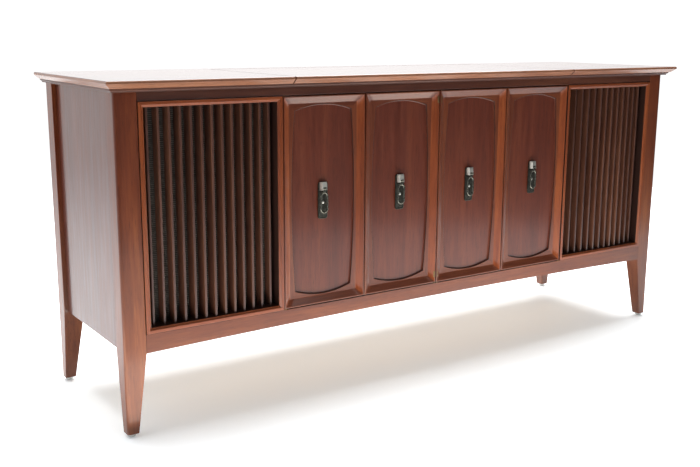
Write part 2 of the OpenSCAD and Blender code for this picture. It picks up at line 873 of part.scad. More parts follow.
module tuner_panel() {
    wall = 3;
    half = 180;
    window_w = 300;
    color("darkgray") difference() {
        union() {
            translate([tuner_x - half, -148, z_deck]) cube([2 * half, 304, panel_top - z_deck]);
            translate([tuner_x - half + 10, 0, 0]) rotate([90, 0, 90])
                linear_extrude(2 * half - 20) polygon(housing_outline(0, 1));
        }
        translate([tuner_x - half + 10 + wall, 0, 0]) rotate([90, 0, 90])
            linear_extrude(2 * half - 20 - 2 * wall) polygon(housing_outline(wall, 5));
        on_face() translate([-window_w / 2, 14, -5]) cube([window_w, 46, 8]);
        for (dx = tuner_shafts) translate([tuner_x + dx, knob_y, z_deck - over])
            cylinder(h = 10, r = knob_shaft_r + 1);
    }
}

// The chassis is a steel pan, open underneath, with the dial's scale plate and the shafts
module tuner_chassis() {
    side_gap = 8;
    chassis_w = tuner_x1 - tuner_x0 - 2 * side_gap;
    chassis_d = tuner_y1 - tuner_y0 - 2 * side_gap;
    chassis_h = 76;
    sheet = 1.5;
    color("silver") {
        translate([tuner_x0 + side_gap, tuner_y0 + side_gap, z_deck - chassis_h]) difference() {
            cube([chassis_w, chassis_d, chassis_h]);
            translate([sheet, sheet, -over])
                cube([chassis_w - 2 * sheet, chassis_d - 2 * sheet, chassis_h - sheet + over]);
        }
        on_face() translate([-154, 2, -13]) cube([308, 66, 2]);
        for (dx = tuner_shafts) translate([tuner_x + dx, knob_y, z_deck - over])
            cylinder(h = 17, r = knob_shaft_r);
    }
}

module dial_pointer() {
    color("red") on_face() {
        translate([-0.8, 16, -8]) cube([1.6, 42, 2]);
        translate([-6, 58, -9]) cube([12, 6, 3]);
    }
}

module tuner_knob(i, r) {
    color("gainsboro") translate([tuner_x + tuner_shafts[i], knob_y, panel_top + 0.5])
        knob(r, 19);
}

// The amplifier on the floor of the cabinet, behind the left store
module amplifier() {
    chassis_w = 280;
    chassis_d = 50;
    chassis_h = 44;
    tubes = 4;
    amp_y = store_back_y + liner_t + 4;
    color("silver") translate([-350, amp_y, z_floor]) {
        cube([chassis_w, chassis_d, chassis_h]);
        translate([8, 1, chassis_h]) cube([66, chassis_d - 2, 58]);
        translate([84, 4, chassis_h]) cube([46, chassis_d - 8, 48]);
        for (i = [0:tubes - 1]) translate([154 + i * 34, chassis_d / 2, chassis_h])
            cylinder(h = 68, r = 13);
    }
}

at_corner(0, 0) post();  // post_front_left
at_corner(1, 0) post();  // post_front_right
at_corner(0, 1) post();  // post_rear_left
at_corner(1, 1) post();  // post_rear_right
foot_glides();
side_panel(0);  // side_panel_left
side_panel(1);  // side_panel_right
front_top_rail();
front_bottom_rail();
rear_rails();
bottom_board();
partitions();
well_front_board();
record_compartments();
back_panel();
top_left();
top_right();
top_rear_strip();
top_moulding();
lid();
lid_hinge_fixed_leaf();
lid_hinge_moving_leaf();
door(0);  // door_1
door(1);  // door_2
door(2);  // door_3
door(3);  // door_4
pull_plate(0);  // pull_plate_1
pull_plate(1);  // pull_plate_2
pull_plate(2);  // pull_plate_3
pull_plate(3);  // pull_plate_4
pull_drop(0);  // pull_drop_1
pull_drop(1);  // pull_drop_2
pull_drop(2);  // pull_drop_3
pull_drop(3);  // pull_drop_4
door_pivot_pins();
grille_frame(-1);  // grille_frame_left
grille_frame(1);  // grille_frame_right
grille_fins(-1);  // grille_fins_left
grille_fins(1);  // grille_fins_right
speaker_baffles();
speaker_drivers();
deck_board();
changer_plate();
platter();
spindle();
record_arm();
tonearm_turret();
tonearm();
motor();
motor_pulley();
idler_wheel();
changer_knob();
tuner_panel();
tuner_chassis();
dial_pointer();
tuner_knob(0, 23);  // tuning_knob
tuner_knob(1, 18);  // volume_knob
tuner_knob(2, 18);  // selector_knob
amplifier();
mains_bush();
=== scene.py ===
"""The looks of a radio phonograph console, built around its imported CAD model.

Metres, +Z up, the front faces -Y. Every place comes from the CAD nodes' boxes.
"""
import math

import bmesh
import bpy
from mathutils import Matrix, Vector


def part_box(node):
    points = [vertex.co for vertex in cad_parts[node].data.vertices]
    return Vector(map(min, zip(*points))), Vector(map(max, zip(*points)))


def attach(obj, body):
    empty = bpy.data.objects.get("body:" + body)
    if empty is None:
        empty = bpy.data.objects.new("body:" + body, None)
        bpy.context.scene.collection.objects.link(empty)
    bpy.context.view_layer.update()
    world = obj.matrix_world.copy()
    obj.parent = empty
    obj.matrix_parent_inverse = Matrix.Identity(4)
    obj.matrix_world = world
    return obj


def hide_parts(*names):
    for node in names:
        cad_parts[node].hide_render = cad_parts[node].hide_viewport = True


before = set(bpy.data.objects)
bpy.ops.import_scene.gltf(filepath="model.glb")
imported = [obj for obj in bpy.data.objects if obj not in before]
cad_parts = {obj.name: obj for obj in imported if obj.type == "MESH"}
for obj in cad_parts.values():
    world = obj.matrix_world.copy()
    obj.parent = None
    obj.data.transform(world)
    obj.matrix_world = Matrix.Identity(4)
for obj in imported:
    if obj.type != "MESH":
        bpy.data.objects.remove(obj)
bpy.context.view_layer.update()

MM = 0.001
SIDES = ("left", "right")
DOORS = (1, 2, 3, 4)


# ---------- Node helpers ----------

class NodeTree:
    """The node tree of a material or a world, cleared, with short ways to add nodes to it."""

    def __init__(self, owner):
        owner.use_nodes = True
        self.nodes = owner.node_tree.nodes
        self.links = owner.node_tree.links
        self.nodes.clear()

    def feed(self, socket, value):
        """Links a socket to another node's output, or sets it to a constant."""
        if isinstance(value, bpy.types.NodeSocket):
            self.links.new(value, socket)
        elif socket.type == "RGBA":
            socket.default_value = (*value[:3], 1)
        else:
            socket.default_value = value

    def node(self, kind, output, inputs, **settings):
        """Adds a node, feeds its inputs, and returns one of its outputs."""
        node = self.nodes.new("ShaderNode" + kind)
        for setting, value in settings.items():
            setattr(node, setting, value)
        for socket, value in inputs.items():
            self.feed(node.inputs[socket], value)
        return None if output is None else node.outputs[output]

    def coords(self, scale=(1, 1, 1), shift=(0, 0, 0)):
        """Object coordinates in metres, stretched and shifted."""
        source = self.node("TexCoord", "Object", {})
        return self.node("Mapping", "Vector", {"Vector": source, "Location": shift, "Scale": scale})

    def height(self):
        """The height of a point above the floor, in metres."""
        return self.node("SeparateXYZ", "Z", {0: self.coords()})

    def noise(self, vector, scale, detail=3.0, rough=0.5, distortion=0.0):
        """Fractal noise from 0 to 1, most of it near the middle."""
        return self.node("TexNoise", "Fac", {"Vector": vector, "Scale": scale, "Detail": detail,
                                             "Roughness": rough, "Distortion": distortion})

    def bands(self, vector, scale, direction, distortion=0.0, detail=0.0, detail_scale=1.0):
        """Smooth bands across a direction."""
        return self.node("TexWave", "Fac", {"Vector": vector, "Scale": scale, "Distortion": distortion,
                                            "Detail": detail, "Detail Scale": detail_scale},
                         bands_direction=direction)

    def spread(self, value, low, high, to_low=0.0, to_high=1.0):
        """Maps the range from low to high smoothly onto another range, and clamps it."""
        return self.node("MapRange", "Result", {"Value": value, "From Min": low, "From Max": high,
                                                "To Min": to_low, "To Max": to_high},
                         interpolation_type="SMOOTHSTEP")

    def ramp(self, value, *stops):
        """A colour ramp from (position, colour) stops."""
        node = self.nodes.new("ShaderNodeValToRGB")
        elements = node.color_ramp.elements
        while len(elements) < len(stops):
            elements.new(0.5)
        for element, (position, colour) in zip(elements, stops):
            element.position = position
            element.color = (*colour, 1)
        self.links.new(value, node.inputs["Fac"])
        return node.outputs["Color"]

    def mix(self, share, first, second, blend="MIX"):
        """Mixes two colours. Sockets 6 and 7 and output 2 are the node's colour ones."""
        return self.node("Mix", 2, {"Factor": share, 6: first, 7: second},
                         data_type="RGBA", blend_type=blend)

    def math(self, operation, first, second):
        """Two values added, multiplied and so on."""
        return self.node("Math", 0, {0: first, 1: second}, operation=operation)

    def blend(self, first, second, share):
        """A weighted sum of two values, with this share for the first."""
        rest = self.math("MULTIPLY", second, 1 - share)
        return self.math("ADD", self.math("MULTIPLY", first, share), rest)

    def occlusion(self, distance):
        """How open a point is: 1 where nothing of the same piece stands near it."""
        return self.node("AmbientOcclusion", "AO", {"Distance": distance}, samples=6, only_local=True)

    def bump(self, height, distance, strength=1.0):
        """A normal that a height map of this depth in metres tilts."""
        return self.node("Bump", "Normal", {"Strength": strength, "Distance": distance, "Height": height})


class Shader(NodeTree):
    """A material with one Principled shader."""

    def __init__(self, name):
        self.material = bpy.data.materials.new(name)
        super().__init__(self.material)
        self.bsdf = self.nodes.new("ShaderNodeBsdfPrincipled")
        self.node("OutputMaterial", None, {"Surface": self.bsdf.outputs[0]})

    def set(self, *values):
        """Feeds sockets of the Principled shader, from (socket, value) pairs."""
        for socket, value in values:
            self.feed(self.bsdf.inputs[socket], value)


# ---------- Camera ----------

def make_camera():
    """The camera stands in front of the left end, at about the height of the top."""
    place = Vector((-1.5243, -2.0519, 0.8632))
    turn = math.radians(34.21)
    dip = math.radians(12.05)
    roll = math.radians(0.34)
    data = bpy.data.cameras.new("camera")
    data.lens = 49.17
    data.sensor_width = 36.0
    data.clip_start = 0.01
    data.clip_end = 100.0
    forward = Vector((math.sin(turn) * math.cos(dip), math.cos(turn) * math.cos(dip), -math.sin(dip)))
    level = forward.cross(Vector((0, 0, 1))).normalized()
    upward = level.cross(forward)
    right = math.cos(roll) * level + math.sin(roll) * upward
    up = right.cross(forward)
    camera = bpy.data.objects.new("camera", data)
    camera.matrix_world = Matrix.Translation(place) @ Matrix((right, up, -forward)).transposed().to_4x4()
    bpy.context.scene.collection.objects.link(camera)
    bpy.context.scene.camera = camera
    bpy.context.scene.view_settings.view_transform = "Standard"


# ---------- Studio ----------

def area_light(name, place, target, width, height, power, colour=(1, 1, 1)):
    """A rectangular soft light that faces a point."""
    data = bpy.data.lights.new(name, "AREA")
    data.shape = "RECTANGLE"
    data.size = width
    data.size_y = height
    data.energy = power
    data.color = colour
    lamp = bpy.data.objects.new(name, data)
    lamp.location = place
    lamp.rotation_euler = (Vector(target) - Vector(place)).to_track_quat("-Z", "Y").to_euler()
    bpy.context.scene.collection.objects.link(lamp)
    return lamp


def make_world():
    """White behind and to the left, and a dimmer room in front of the object to the right."""
    world = bpy.data.worlds.new("studio")
    bpy.context.scene.world = world
    s = NodeTree(world)
    bright_side = Vector((-0.35, 0.93, 0.12)).normalized()
    facing = s.node("VectorMath", "Value", {0: s.node("TexCoord", "Generated", {}), 1: bright_side},
                    operation="DOT_PRODUCT")
    room = s.node("Background", 0, {"Strength": s.spread(facing, -0.45, 0.6, 0.09, 1.35)})
    backdrop = s.node("Background", 0, {"Color": (1, 1, 1), "Strength": 1.05})
    seen = s.node("LightPath", "Is Camera Ray", {})
    s.node("OutputWorld", None, {"Surface": s.node("MixShader", 0, {0: seen, 1: room, 2: backdrop})})


def make_floor():
    """A round pale floor, which the light leaves nearly white."""
    radius = 3.2
    bm = bmesh.new()
    bmesh.ops.create_circle(bm, cap_ends=True, segments=96, radius=radius)
    mesh = bpy.data.meshes.new("floor")
    bm.to_mesh(mesh)
    bm.free()
    floor = bpy.data.objects.new("floor", mesh)
    floor.location = (-0.3, 1.2, 0)
    bpy.context.scene.collection.objects.link(floor)
    s = Shader("floor_paper")
    s.set(("Base Color", (0.84, 0.86, 0.875)), ("Roughness", 0.55), ("Specular IOR Level", 0.3),
          ("Emission Color", (0.86, 0.95, 1.0)), ("Emission Strength", 0.28))
    mesh.materials.append(s.material)


# ---------- Materials ----------

def along(axis, lengthwise):
    """The scale of a texture that is stretched along one axis."""
    return tuple(lengthwise if a == axis else 1.0 for a in "xyz")


def scaled(tone, factor):
    """A darker or lighter tone."""
    return tuple(c * factor for c in tone)


# Stain tones of the wood, from its dark to its light streaks
SOLID_WOOD = ((0.066, 0.0120, 0.0045), (0.126, 0.0265, 0.0082), (0.200, 0.0500, 0.0140))
VENEER = ((0.062, 0.0120, 0.0060), (0.100, 0.0200, 0.0088), (0.140, 0.0330, 0.0125))
TOP_VENEER = ((0.036, 0.0080, 0.0046), (0.060, 0.0135, 0.0068), (0.088, 0.0225, 0.0100))
BOTTOM_RAIL_WOOD = ((0.070, 0.0145, 0.0060), (0.134, 0.0320, 0.0108), (0.212, 0.0595, 0.0182))
DOOR_WOOD = ((0.070, 0.0140, 0.0055), (0.125, 0.0290, 0.0105), (0.185, 0.0520, 0.0180))
DOOR_RAIL_WOOD = ((0.062, 0.0130, 0.0055), (0.114, 0.0270, 0.0105), (0.170, 0.0480, 0.0170))
# Lighter walnut for the door bevels and the grille frames. On the doors' bevels it is a painted highlight.
BEVEL_WOOD = ((0.108, 0.0200, 0.0052), (0.200, 0.0430, 0.0098), (0.292, 0.0770, 0.0180))
# Darker walnut for the frieze, the moulding and the slab ends at the lid's seams: painted shade under the
# top's overhang and in the seams.
FRIEZE_SHADE_WOOD = ((0.038, 0.0085, 0.0042), (0.072, 0.0190, 0.0090), (0.112, 0.0350, 0.0155))
# Much lighter walnut for the top's front band, its undercut and its outer ends: a painted highlight for the
# light that these edges catch.
LIT_EDGE_WOOD = ((0.130, 0.0430, 0.0200), (0.240, 0.0940, 0.0460), (0.340, 0.1500, 0.0800))
# Fin wood in two copies, darker for the front edges and lighter for the sides: painted light in the deep gaps
# between fins and painted shade on their edges.
FIN_WOOD = ((0.032, 0.0115, 0.0085), (0.064, 0.0235, 0.0160), (0.100, 0.0400, 0.0255))
FIN_SIDE_WOOD = ((0.070, 0.0260, 0.0160), (0.140, 0.0550, 0.0320), (0.215, 0.0900, 0.0520))
# Very dark walnut on the step round each door's sunk field: painted shade for the shadow line around the
# field.
RECESS_WOOD = ((0.020, 0.0065, 0.0038), (0.034, 0.0110, 0.0060), (0.052, 0.0170, 0.0090))
SHADE_WOOD = ((0.014, 0.0060, 0.0045), (0.026, 0.0110, 0.0080), (0.040, 0.0170, 0.0120))


def walnut(name, grain, tones, shift=(0, 0, 0), gloss=0.16, coat=0.65, coat_ior=1.5, painted_floor_light=None):
    """Red-brown stained walnut under a gloss lacquer, its grain along one axis.

    Given a factor for painted floor light, its colour is multiplied by that factor near the floor: a painted
    brightening for the light that the floor throws up.
    """
    s = Shader("walnut_" + name)
    dark, middle, light = tones
    board = s.coords(along(grain, 0.06), shift)
    broad_bands = s.noise(board, 22, 3, 0.55, 0.6)
    streaks = s.noise(board, 150, 4, 0.6, 0.3)
    colour = s.ramp(s.blend(broad_bands, streaks, 0.62), (0.30, dark), (0.50, middle), (0.68, light))
    patches = s.spread(s.noise(s.coords((2.2, 2.2, 2.2), shift), 1.6, 2), 0.3, 0.7)
    stain = tuple((d + m) / 2 for d, m in zip(dark, middle))
    colour = s.mix(s.math("MULTIPLY", patches, 0.35), colour, stain)
    pores = s.spread(s.noise(s.coords(along(grain, 0.035), shift), 950, 2), 0.57, 0.70)
    colour = s.mix(s.math("MULTIPLY", pores, 0.5), colour, (0.02, 0.006, 0.004))
    # Painted floor light: lighter and more orange towards the floor, standing in for light thrown up from the
    # floor.
    if painted_floor_light:
        colour = s.mix(s.spread(s.height(), 0.24, 0.60, 1.0, 0.0), colour, painted_floor_light, "MULTIPLY")
    s.set(("Base Color", colour), ("Roughness", s.spread(streaks, 0.3, 0.7, 0.36, 0.5)),
          ("Specular IOR Level", 0.2), ("Normal", s.bump(pores, -0.00006, 0.6)),
          ("Coat Weight", coat), ("Coat Roughness", gloss), ("Coat IOR", coat_ior),
          ("Coat Normal", s.bump(s.noise(s.coords(), 14, 2), 0.0008, 0.10)))
    return s.material


def raw_board(name, grain, tone=(0.42, 0.27, 0.14)):
    """Sawn softwood or core board, unfinished."""
    s = Shader(name)
    fibre = s.noise(s.coords(along(grain, 0.05)), 120, 4, 0.6)
    rings = s.noise(s.coords(along(grain, 0.04)), 16, 3, 0.5, 0.8)
    colour = s.ramp(s.blend(rings, fibre, 0.6), (0.32, scaled(tone, 0.62)), (0.66, tone))
    s.set(("Base Color", colour), ("Roughness", 0.78), ("Specular IOR Level", 0.25),
          ("Normal", s.bump(fibre, 0.0004, 0.5)))
    return s.material


def hardboard(name, tone=(0.125, 0.070, 0.036)):
    """Pressed fibre board with fine speckle."""
    s = Shader(name)
    speck = s.noise(s.coords(), 900, 4, 0.7)
    cloud = s.noise(s.coords(), 7, 3, 0.6)
    s.set(("Base Color", s.ramp(s.blend(speck, cloud, 0.5), (0.35, tone), (0.65, scaled(tone, 1.35)))),
          ("Roughness", 0.62), ("Specular IOR Level", 0.35), ("Normal", s.bump(speck, 0.0002, 0.5)))
    return s.material


def antique_pewter(name, dark, rubbed, rough):
    """Antiqued metal, dark in its hollows and rubbed brighter where it stands out."""
    s = Shader(name)
    grime = s.noise(s.coords(), 170, 3, 0.55)
    fine = s.noise(s.coords(), 1300, 3, 0.6)
    open_to_wear = s.spread(s.occlusion(5 * MM), 0.50, 0.97)
    proud = s.math("MULTIPLY", open_to_wear, s.spread(grime, 0.30, 0.70, 0.45, 1.0))
    s.set(("Base Color", s.mix(proud, dark, rubbed)), ("Metallic", 0.9),
          ("Roughness", s.spread(grime, 0.35, 0.65, rough + 0.12, rough)),
          ("Normal", s.bump(fine, 0.00006, 0.5)))
    return s.material


def metal(name, tone, rough, brushed_along=None, bumpy=0.0):
    """A plated or satin metal, with fine scratches along one axis if it is brushed."""
    s = Shader(name)
    wear = s.noise(s.coords(), 120, 4, 0.6)
    scratches = s.coords(along(brushed_along, 0.02)) if brushed_along else s.coords()
    fine = s.noise(scratches, 1600, 3, 0.6)
    s.set(("Base Color", s.mix(s.spread(wear, 0.35, 0.7), scaled(tone, 0.87), tone)), ("Metallic", 1.0),
          ("Roughness", s.spread(fine, 0.3, 0.7, rough, rough + 0.14)),
          ("Normal", s.bump(fine, 0.00005 + bumpy, 0.4)))
    return s.material


def enamel(name, tone, rough=0.32, hammer=0.0):
    """Paint on metal, with an optional hammered texture."""
    s = Shader(name)
    cells = s.node("TexVoronoi", "Distance", {"Vector": s.coords(), "Scale": 260})
    haze = s.noise(s.coords(), 18, 3, 0.6)
    s.set(("Base Color", s.mix(s.spread(haze, 0.35, 0.65), scaled(tone, 0.86), tone)), ("Roughness", rough),
          ("Coat Weight", 0.4), ("Coat Roughness", 0.12), ("Normal", s.bump(cells, 0.0002 + hammer, 0.5)))
    return s.material


def plastic(name, tone, rough=0.25):
    """Moulded plastic with faint mottling and fine texture."""
    s = Shader(name)
    fine = s.noise(s.coords(), 1400, 2)
    mottle = s.noise(s.coords(), 40, 3, 0.6)
    s.set(("Base Color", s.mix(s.spread(mottle, 0.35, 0.65), scaled(tone, 0.8), tone)),
          ("Roughness", s.spread(mottle, 0.3, 0.7, rough, rough + 0.08)),
          ("Normal", s.bump(fine, 0.00002, 0.3)))
    return s.material


def rubber(name, tone=(0.018, 0.018, 0.018)):
    """Matt black rubber with a little dust on it."""
    s = Shader(name)
    dust = s.noise(s.coords(), 90, 4, 0.7)
    s.set(("Base Color", s.mix(s.spread(dust, 0.45, 0.75), tone, scaled(tone, 2.4))), ("Roughness", 0.72),
          ("Specular IOR Level", 0.3), ("Normal", s.bump(dust, 0.0002, 0.4)))
    return s.material


def grille_cloth(name, rib_foot, rib_pitch):
    """Dark woven cloth with a painted highlight, a pale band, along each of its ribs."""
    s = Shader(name)
    warp = s.bands(s.coords(), 420, "X", 0.6, 2, 3)
    weft = s.bands(s.coords(), 420, "Z", 0.6, 2, 3)
    weave = s.math("MULTIPLY", warp, weft)
    slub = s.noise(s.coords((0.25, 1, 1)), 300, 3, 0.6)
    colour = s.mix(weave, (0.008, 0.006, 0.005), (0.066, 0.054, 0.044))
    colour = s.mix(s.spread(slub, 0.6, 0.8, 0, 0.5), colour, (0.110, 0.088, 0.068))
    # A pale band on each rib: a painted highlight where the ribs catch the light, uneven along its length.
    bands_per_metre = 2 * math.pi / 20 / rib_pitch
    ribs = s.bands(s.coords(shift=(0, 0, -rib_foot)), bands_per_metre, "Z")
    uneven_highlight = s.spread(s.noise(s.coords((0.4, 1, 1)), 160, 2), 0.3, 0.6, 0.2, 0.8)
    rib_highlight = s.math("MULTIPLY", s.spread(ribs, 0.62, 0.95), uneven_highlight)
    colour = s.mix(rib_highlight, colour, (0.15, 0.14, 0.12))
    s.set(("Base Color", colour), ("Roughness", 0.85), ("Specular IOR Level", 0.2),
          ("Sheen Weight", 0.25), ("Sheen Roughness", 0.5), ("Normal", s.bump(weave, 0.0003, 0.6)))
    return s.material


def glass(name):
    """Clear glass with faint smears."""
    s = Shader(name)
    smear = s.noise(s.coords(), 25, 3, 0.6)
    s.set(("Base Color", (0.95, 0.97, 0.96)), ("Roughness", s.spread(smear, 0.4, 0.7, 0.02, 0.07)),
          ("Transmission Weight", 1.0), ("IOR", 1.45))
    return s.material


def flat_paint(name, tone, rough=0.6):
    """A printed or painted surface with a little unevenness."""
    s = Shader(name)
    cloud = s.noise(s.coords(), 60, 3, 0.6)
    s.set(("Base Color", s.mix(cloud, scaled(tone, 0.85), tone)), ("Roughness", rough))
    return s.material


make_camera()
make_world()

# The posts are painted lighter and more orange towards the floor, a painted brightening for the light from
# the floor.
post_wood = walnut("posts", "z", SOLID_WOOD, (0.3, 0, 0), coat=0.52, painted_floor_light=(1.42, 1.85, 2.0))
rail_wood = walnut("bottom_rail", "x", BOTTOM_RAIL_WOOD, (0.1, 0.5, 0), coat=0.52)
# The frieze and the moulding are painted darker, as painted shade under the top's overhang.
frieze_wood = walnut("frieze", "x", FRIEZE_SHADE_WOOD, (0.7, 0, 0.2), 0.3)
frieze_y = walnut("frieze_along_y", "y", FRIEZE_SHADE_WOOD, (0.7, 0, 0.2), 0.3)
moulding_x = walnut("moulding_along_x", "x", FRIEZE_SHADE_WOOD, (0.2, 0, 0.5), 0.3, coat=0.2)
moulding_y = walnut("moulding_along_y", "y", FRIEZE_SHADE_WOOD, (0.2, 0, 0.5), 0.3, coat=0.2)
panel_x = walnut("panel_along_x", "x", VENEER, (0.1, 0.2, 0.7))
# The top's edges are painted lighter, a painted highlight where they catch the light.
edge_x = walnut("edge_along_x", "x", LIT_EDGE_WOOD, (0.4, 0.2, 0.1))
edge_y = walnut("edge_along_y", "y", LIT_EDGE_WOOD, (0.4, 0.2, 0.1))
top_wood = walnut("top", "x", TOP_VENEER, (0.1, 0.2, 0.7), 0.1, coat=1.0, coat_ior=1.32)
panel_z = walnut("panel_along_z", "z", VENEER, (0.5, 0.1, 0.1))
door_x = walnut("door_rails", "x", DOOR_RAIL_WOOD, (0.2, 0.6, 0), coat=0.45)
# A lighter copy of the door wood, a painted highlight on the bevels that face the light.
bevel_z = walnut("door_bevels", "z", BEVEL_WOOD, (0.3, 0.2, 0.4))
door_z = walnut("door_stiles", "z", DOOR_WOOD, (0.6, 0.2, 0.4))
frame_x = walnut("frame_rails", "x", BEVEL_WOOD, (0.8, 0.2, 0))
# Painted shade on the step round the doors' sunk fields.
recess = walnut("recess", "z", RECESS_WOOD, (0.1, 0.1, 0), 0.3, coat=0.12)
inner_side = walnut("in_shade", "z", SHADE_WOOD, (0.2, 0.3, 0), 0.3)
# Lit and shaded copies of the fin wood, painted light on the sides and painted shade on the edges.
fin_side = walnut("fin_sides", "z", FIN_SIDE_WOOD, (0.9, 0.3, 0), 0.24)
fin_edge = walnut("fin_edges", "z", FIN_WOOD, (0.9, 0.3, 0), 0.24)
dark_gap = flat_paint("shadow_gap", (0.012, 0.006, 0.004), 0.8)
pewter = antique_pewter("antique_pewter", (0.009, 0.009, 0.008), (0.070, 0.070, 0.058), 0.34)
ring_pewter = antique_pewter("ring_pewter", (0.012, 0.012, 0.010), (0.15, 0.15, 0.125), 0.18)
brass = metal("hinge_brass", (0.40, 0.29, 0.14), 0.3)
old_brass = metal("old_brass", (0.17, 0.115, 0.055), 0.4)
steel = metal("nickel_steel", (0.55, 0.54, 0.51), 0.22)
screw_steel = metal("screw_steel", (0.36, 0.34, 0.30), 0.34)
# Bright pewter for the hinge blocks and the studs: rubbed metal, brightened further as a painted highlight.
worn_and_highlight_pewter = metal("worn_and_highlight_pewter", (0.66, 0.66, 0.61), 0.34, bumpy=0.0002)
iron_black = enamel("transformer_black", (0.025, 0.025, 0.028), 0.4)
core = raw_board("core_board", "x")
black_board = flat_paint("black_board", (0.02, 0.02, 0.02), 0.85)
pressed = hardboard("hardboard")
store_board = hardboard("store_board", (0.26, 0.155, 0.085))
zinc = enamel("driver_grey", (0.33, 0.33, 0.31), 0.45)
cream = enamel("changer_enamel", (0.56, 0.52, 0.42), 0.35, 0.0003)
spun = metal("platter_metal", (0.60, 0.60, 0.60), 0.26)
brushed = metal("panel_metal", (0.52, 0.47, 0.36), 0.28, "x")
ivory = plastic("ivory_plastic", (0.60, 0.53, 0.38))
brown_plastic = plastic("knob_plastic", (0.035, 0.024, 0.018), 0.22)
red_plastic = plastic("pointer_plastic", (0.55, 0.035, 0.015), 0.35)
black_rubber = rubber("black_rubber")
dial_black = flat_paint("dial_black", (0.012, 0.013, 0.012), 0.45)
dial_print = flat_paint("dial_print", (0.70, 0.62, 0.40), 0.5)
clear_glass = glass("dial_glass")

make_floor()


# ---------- Mesh helpers ----------

def mm(*points):
    """Points given in millimetres, as metres."""
    return [tuple(c * MM for c in point) for point in points]


def arc(centre, radius, start, end, steps):
    """Points of an arc, angles in degrees."""
    return [(centre[0] + radius * math.cos(math.radians(start + (end - start) * i / steps)),
             centre[1] + radius * math.sin(math.radians(start + (end - start) * i / steps)))
            for i in range(steps + 1)]


def spaced(low, high, count):
    """Evenly spaced values from low to high."""
    return [low + (high - low) * i / (count - 1) for i in range(count)]


def finish_mesh(name, bm, body, materials, replaced=(), sharp=35.0):
    """Turns a bmesh into a smooth-shaded piece whose sharp edges stay sharp, and puts it on its body."""
    bmesh.ops.recalc_face_normals(bm, faces=bm.faces)
    limit = math.radians(sharp)
    for face in bm.faces:
        face.smooth = True
    for edge in bm.edges:
        if len(edge.link_faces) == 2 and edge.calc_face_angle() > limit:
            edge.smooth = False
    mesh = bpy.data.meshes.new(name)
    bm.to_mesh(mesh)
    bm.free()
    for material in materials if isinstance(materials, (list, tuple)) else [materials]:
        mesh.materials.append(material)
    piece = bpy.data.objects.new(name, mesh)
    bpy.context.scene.collection.objects.link(piece)
    weighted = piece.modifiers.new("even_normals", "WEIGHTED_NORMAL")
    weighted.keep_sharp = True
    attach(piece, body)
    if replaced:
        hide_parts(*replaced)
    return piece


def round_edges(bm, radius, segments=2, above=25.0):
    """Rounds every edge that is sharper than an angle."""
    limit = math.radians(above)
    edges = [e for e in bm.edges if len(e.link_faces) == 2 and e.calc_face_angle() > limit]
    bmesh.ops.bevel(bm, geom=edges, offset=radius, offset_type="OFFSET", segments=segments, profile=0.5,
                    affect="EDGES", clamp_overlap=True)


def rounded_box(low, high, radius, segments=2):
    """A box between two corners, with rounded edges."""
    bm = bmesh.new()
    made = bmesh.ops.create_cube(bm, size=1.0)
    low, high = Vector(low), Vector(high)
    for v in made["verts"]:
        v.co = Vector(((low[i] + high[i]) / 2 + v.co[i] * (high[i] - low[i])) for i in range(3))
    round_edges(bm, radius, segments)
    return bm


def box_at(place, low, high, radius):
    """A rounded box whose corners and radius are in millimetres from a place."""
    place = Vector(place)
    return rounded_box(place + Vector(low) * MM, place + Vector(high) * MM, radius * MM)


def join_bmesh(parts):
    """Joins several bmeshes into one and frees them."""
    whole = bmesh.new()
    for part in parts:
        mesh = bpy.data.meshes.new("part")
        part.to_mesh(mesh)
        part.free()
        whole.from_mesh(mesh)
        bpy.data.meshes.remove(mesh)
    return whole


def add_loft(bm, rings, caps=(True, True), material_of=None, cap_material=0):
    """Joins rings of equally many points with quads, and caps the first ring and the last.

    material_of gives the material index of a quad from its ring and its step along it.
    """
    loops = [[bm.verts.new(p) for p in ring] for ring in rings]
    count = len(rings[0])
    for r in range(len(loops) - 1):
        for i in range(count):
            j = (i + 1) % count
            face = bm.faces.new((loops[r][i], loops[r][j], loops[r + 1][j], loops[r + 1][i]))
            face.material_index = material_of(r, i) if material_of else 0
    for wanted, loop in zip(caps, (loops[0][::-1], loops[-1])):
        if wanted:
            bm.faces.new(loop).material_index = cap_material
    return loops


def loft(rings, **options):
    """A new bmesh with one loft in it."""
    bm = bmesh.new()
    add_loft(bm, rings, **options)
    return bm


def add_grid(bm, rows, material=0):
    """Joins rows of vertices with quads."""
    for lower, upper in zip(rows, rows[1:]):
        for i in range(len(lower) - 1):
            face = bm.faces.new((lower[i], lower[i + 1], upper[i + 1], upper[i]))
            face.material_index = material


def lathe(profile, centre, axis="z", steps=48):
    """A solid turned about an axis, from (radius, height) points in millimetres. A radius of 0 closes it."""
    bm = bmesh.new()
    turn = {"z": Matrix.Identity(3), "y": Matrix.Rotation(math.radians(90), 3, "X"),
            "x": Matrix.Rotation(math.radians(90), 3, "Y")}[axis]
    rings = []
    for radius, height in mm(*profile):
        angles = [2 * math.pi * i / steps for i in range(steps)] if radius > 0 else [0.0]
        rings.append([bm.verts.new(turn @ Vector((radius * math.cos(a), radius * math.sin(a), height))
                                   + Vector(centre)) for a in angles])
    for lower, upper in zip(rings, rings[1:]):
        for i in range(steps):
            j = (i + 1) % steps
            if len(lower) == 1:
                bm.faces.new((lower[0], upper[j], upper[i]))
            elif len(upper) == 1:
                bm.faces.new((lower[i], lower[j], upper[0]))
            else:
                bm.faces.new((lower[i], lower[j], upper[j], upper[i]))
    return bm


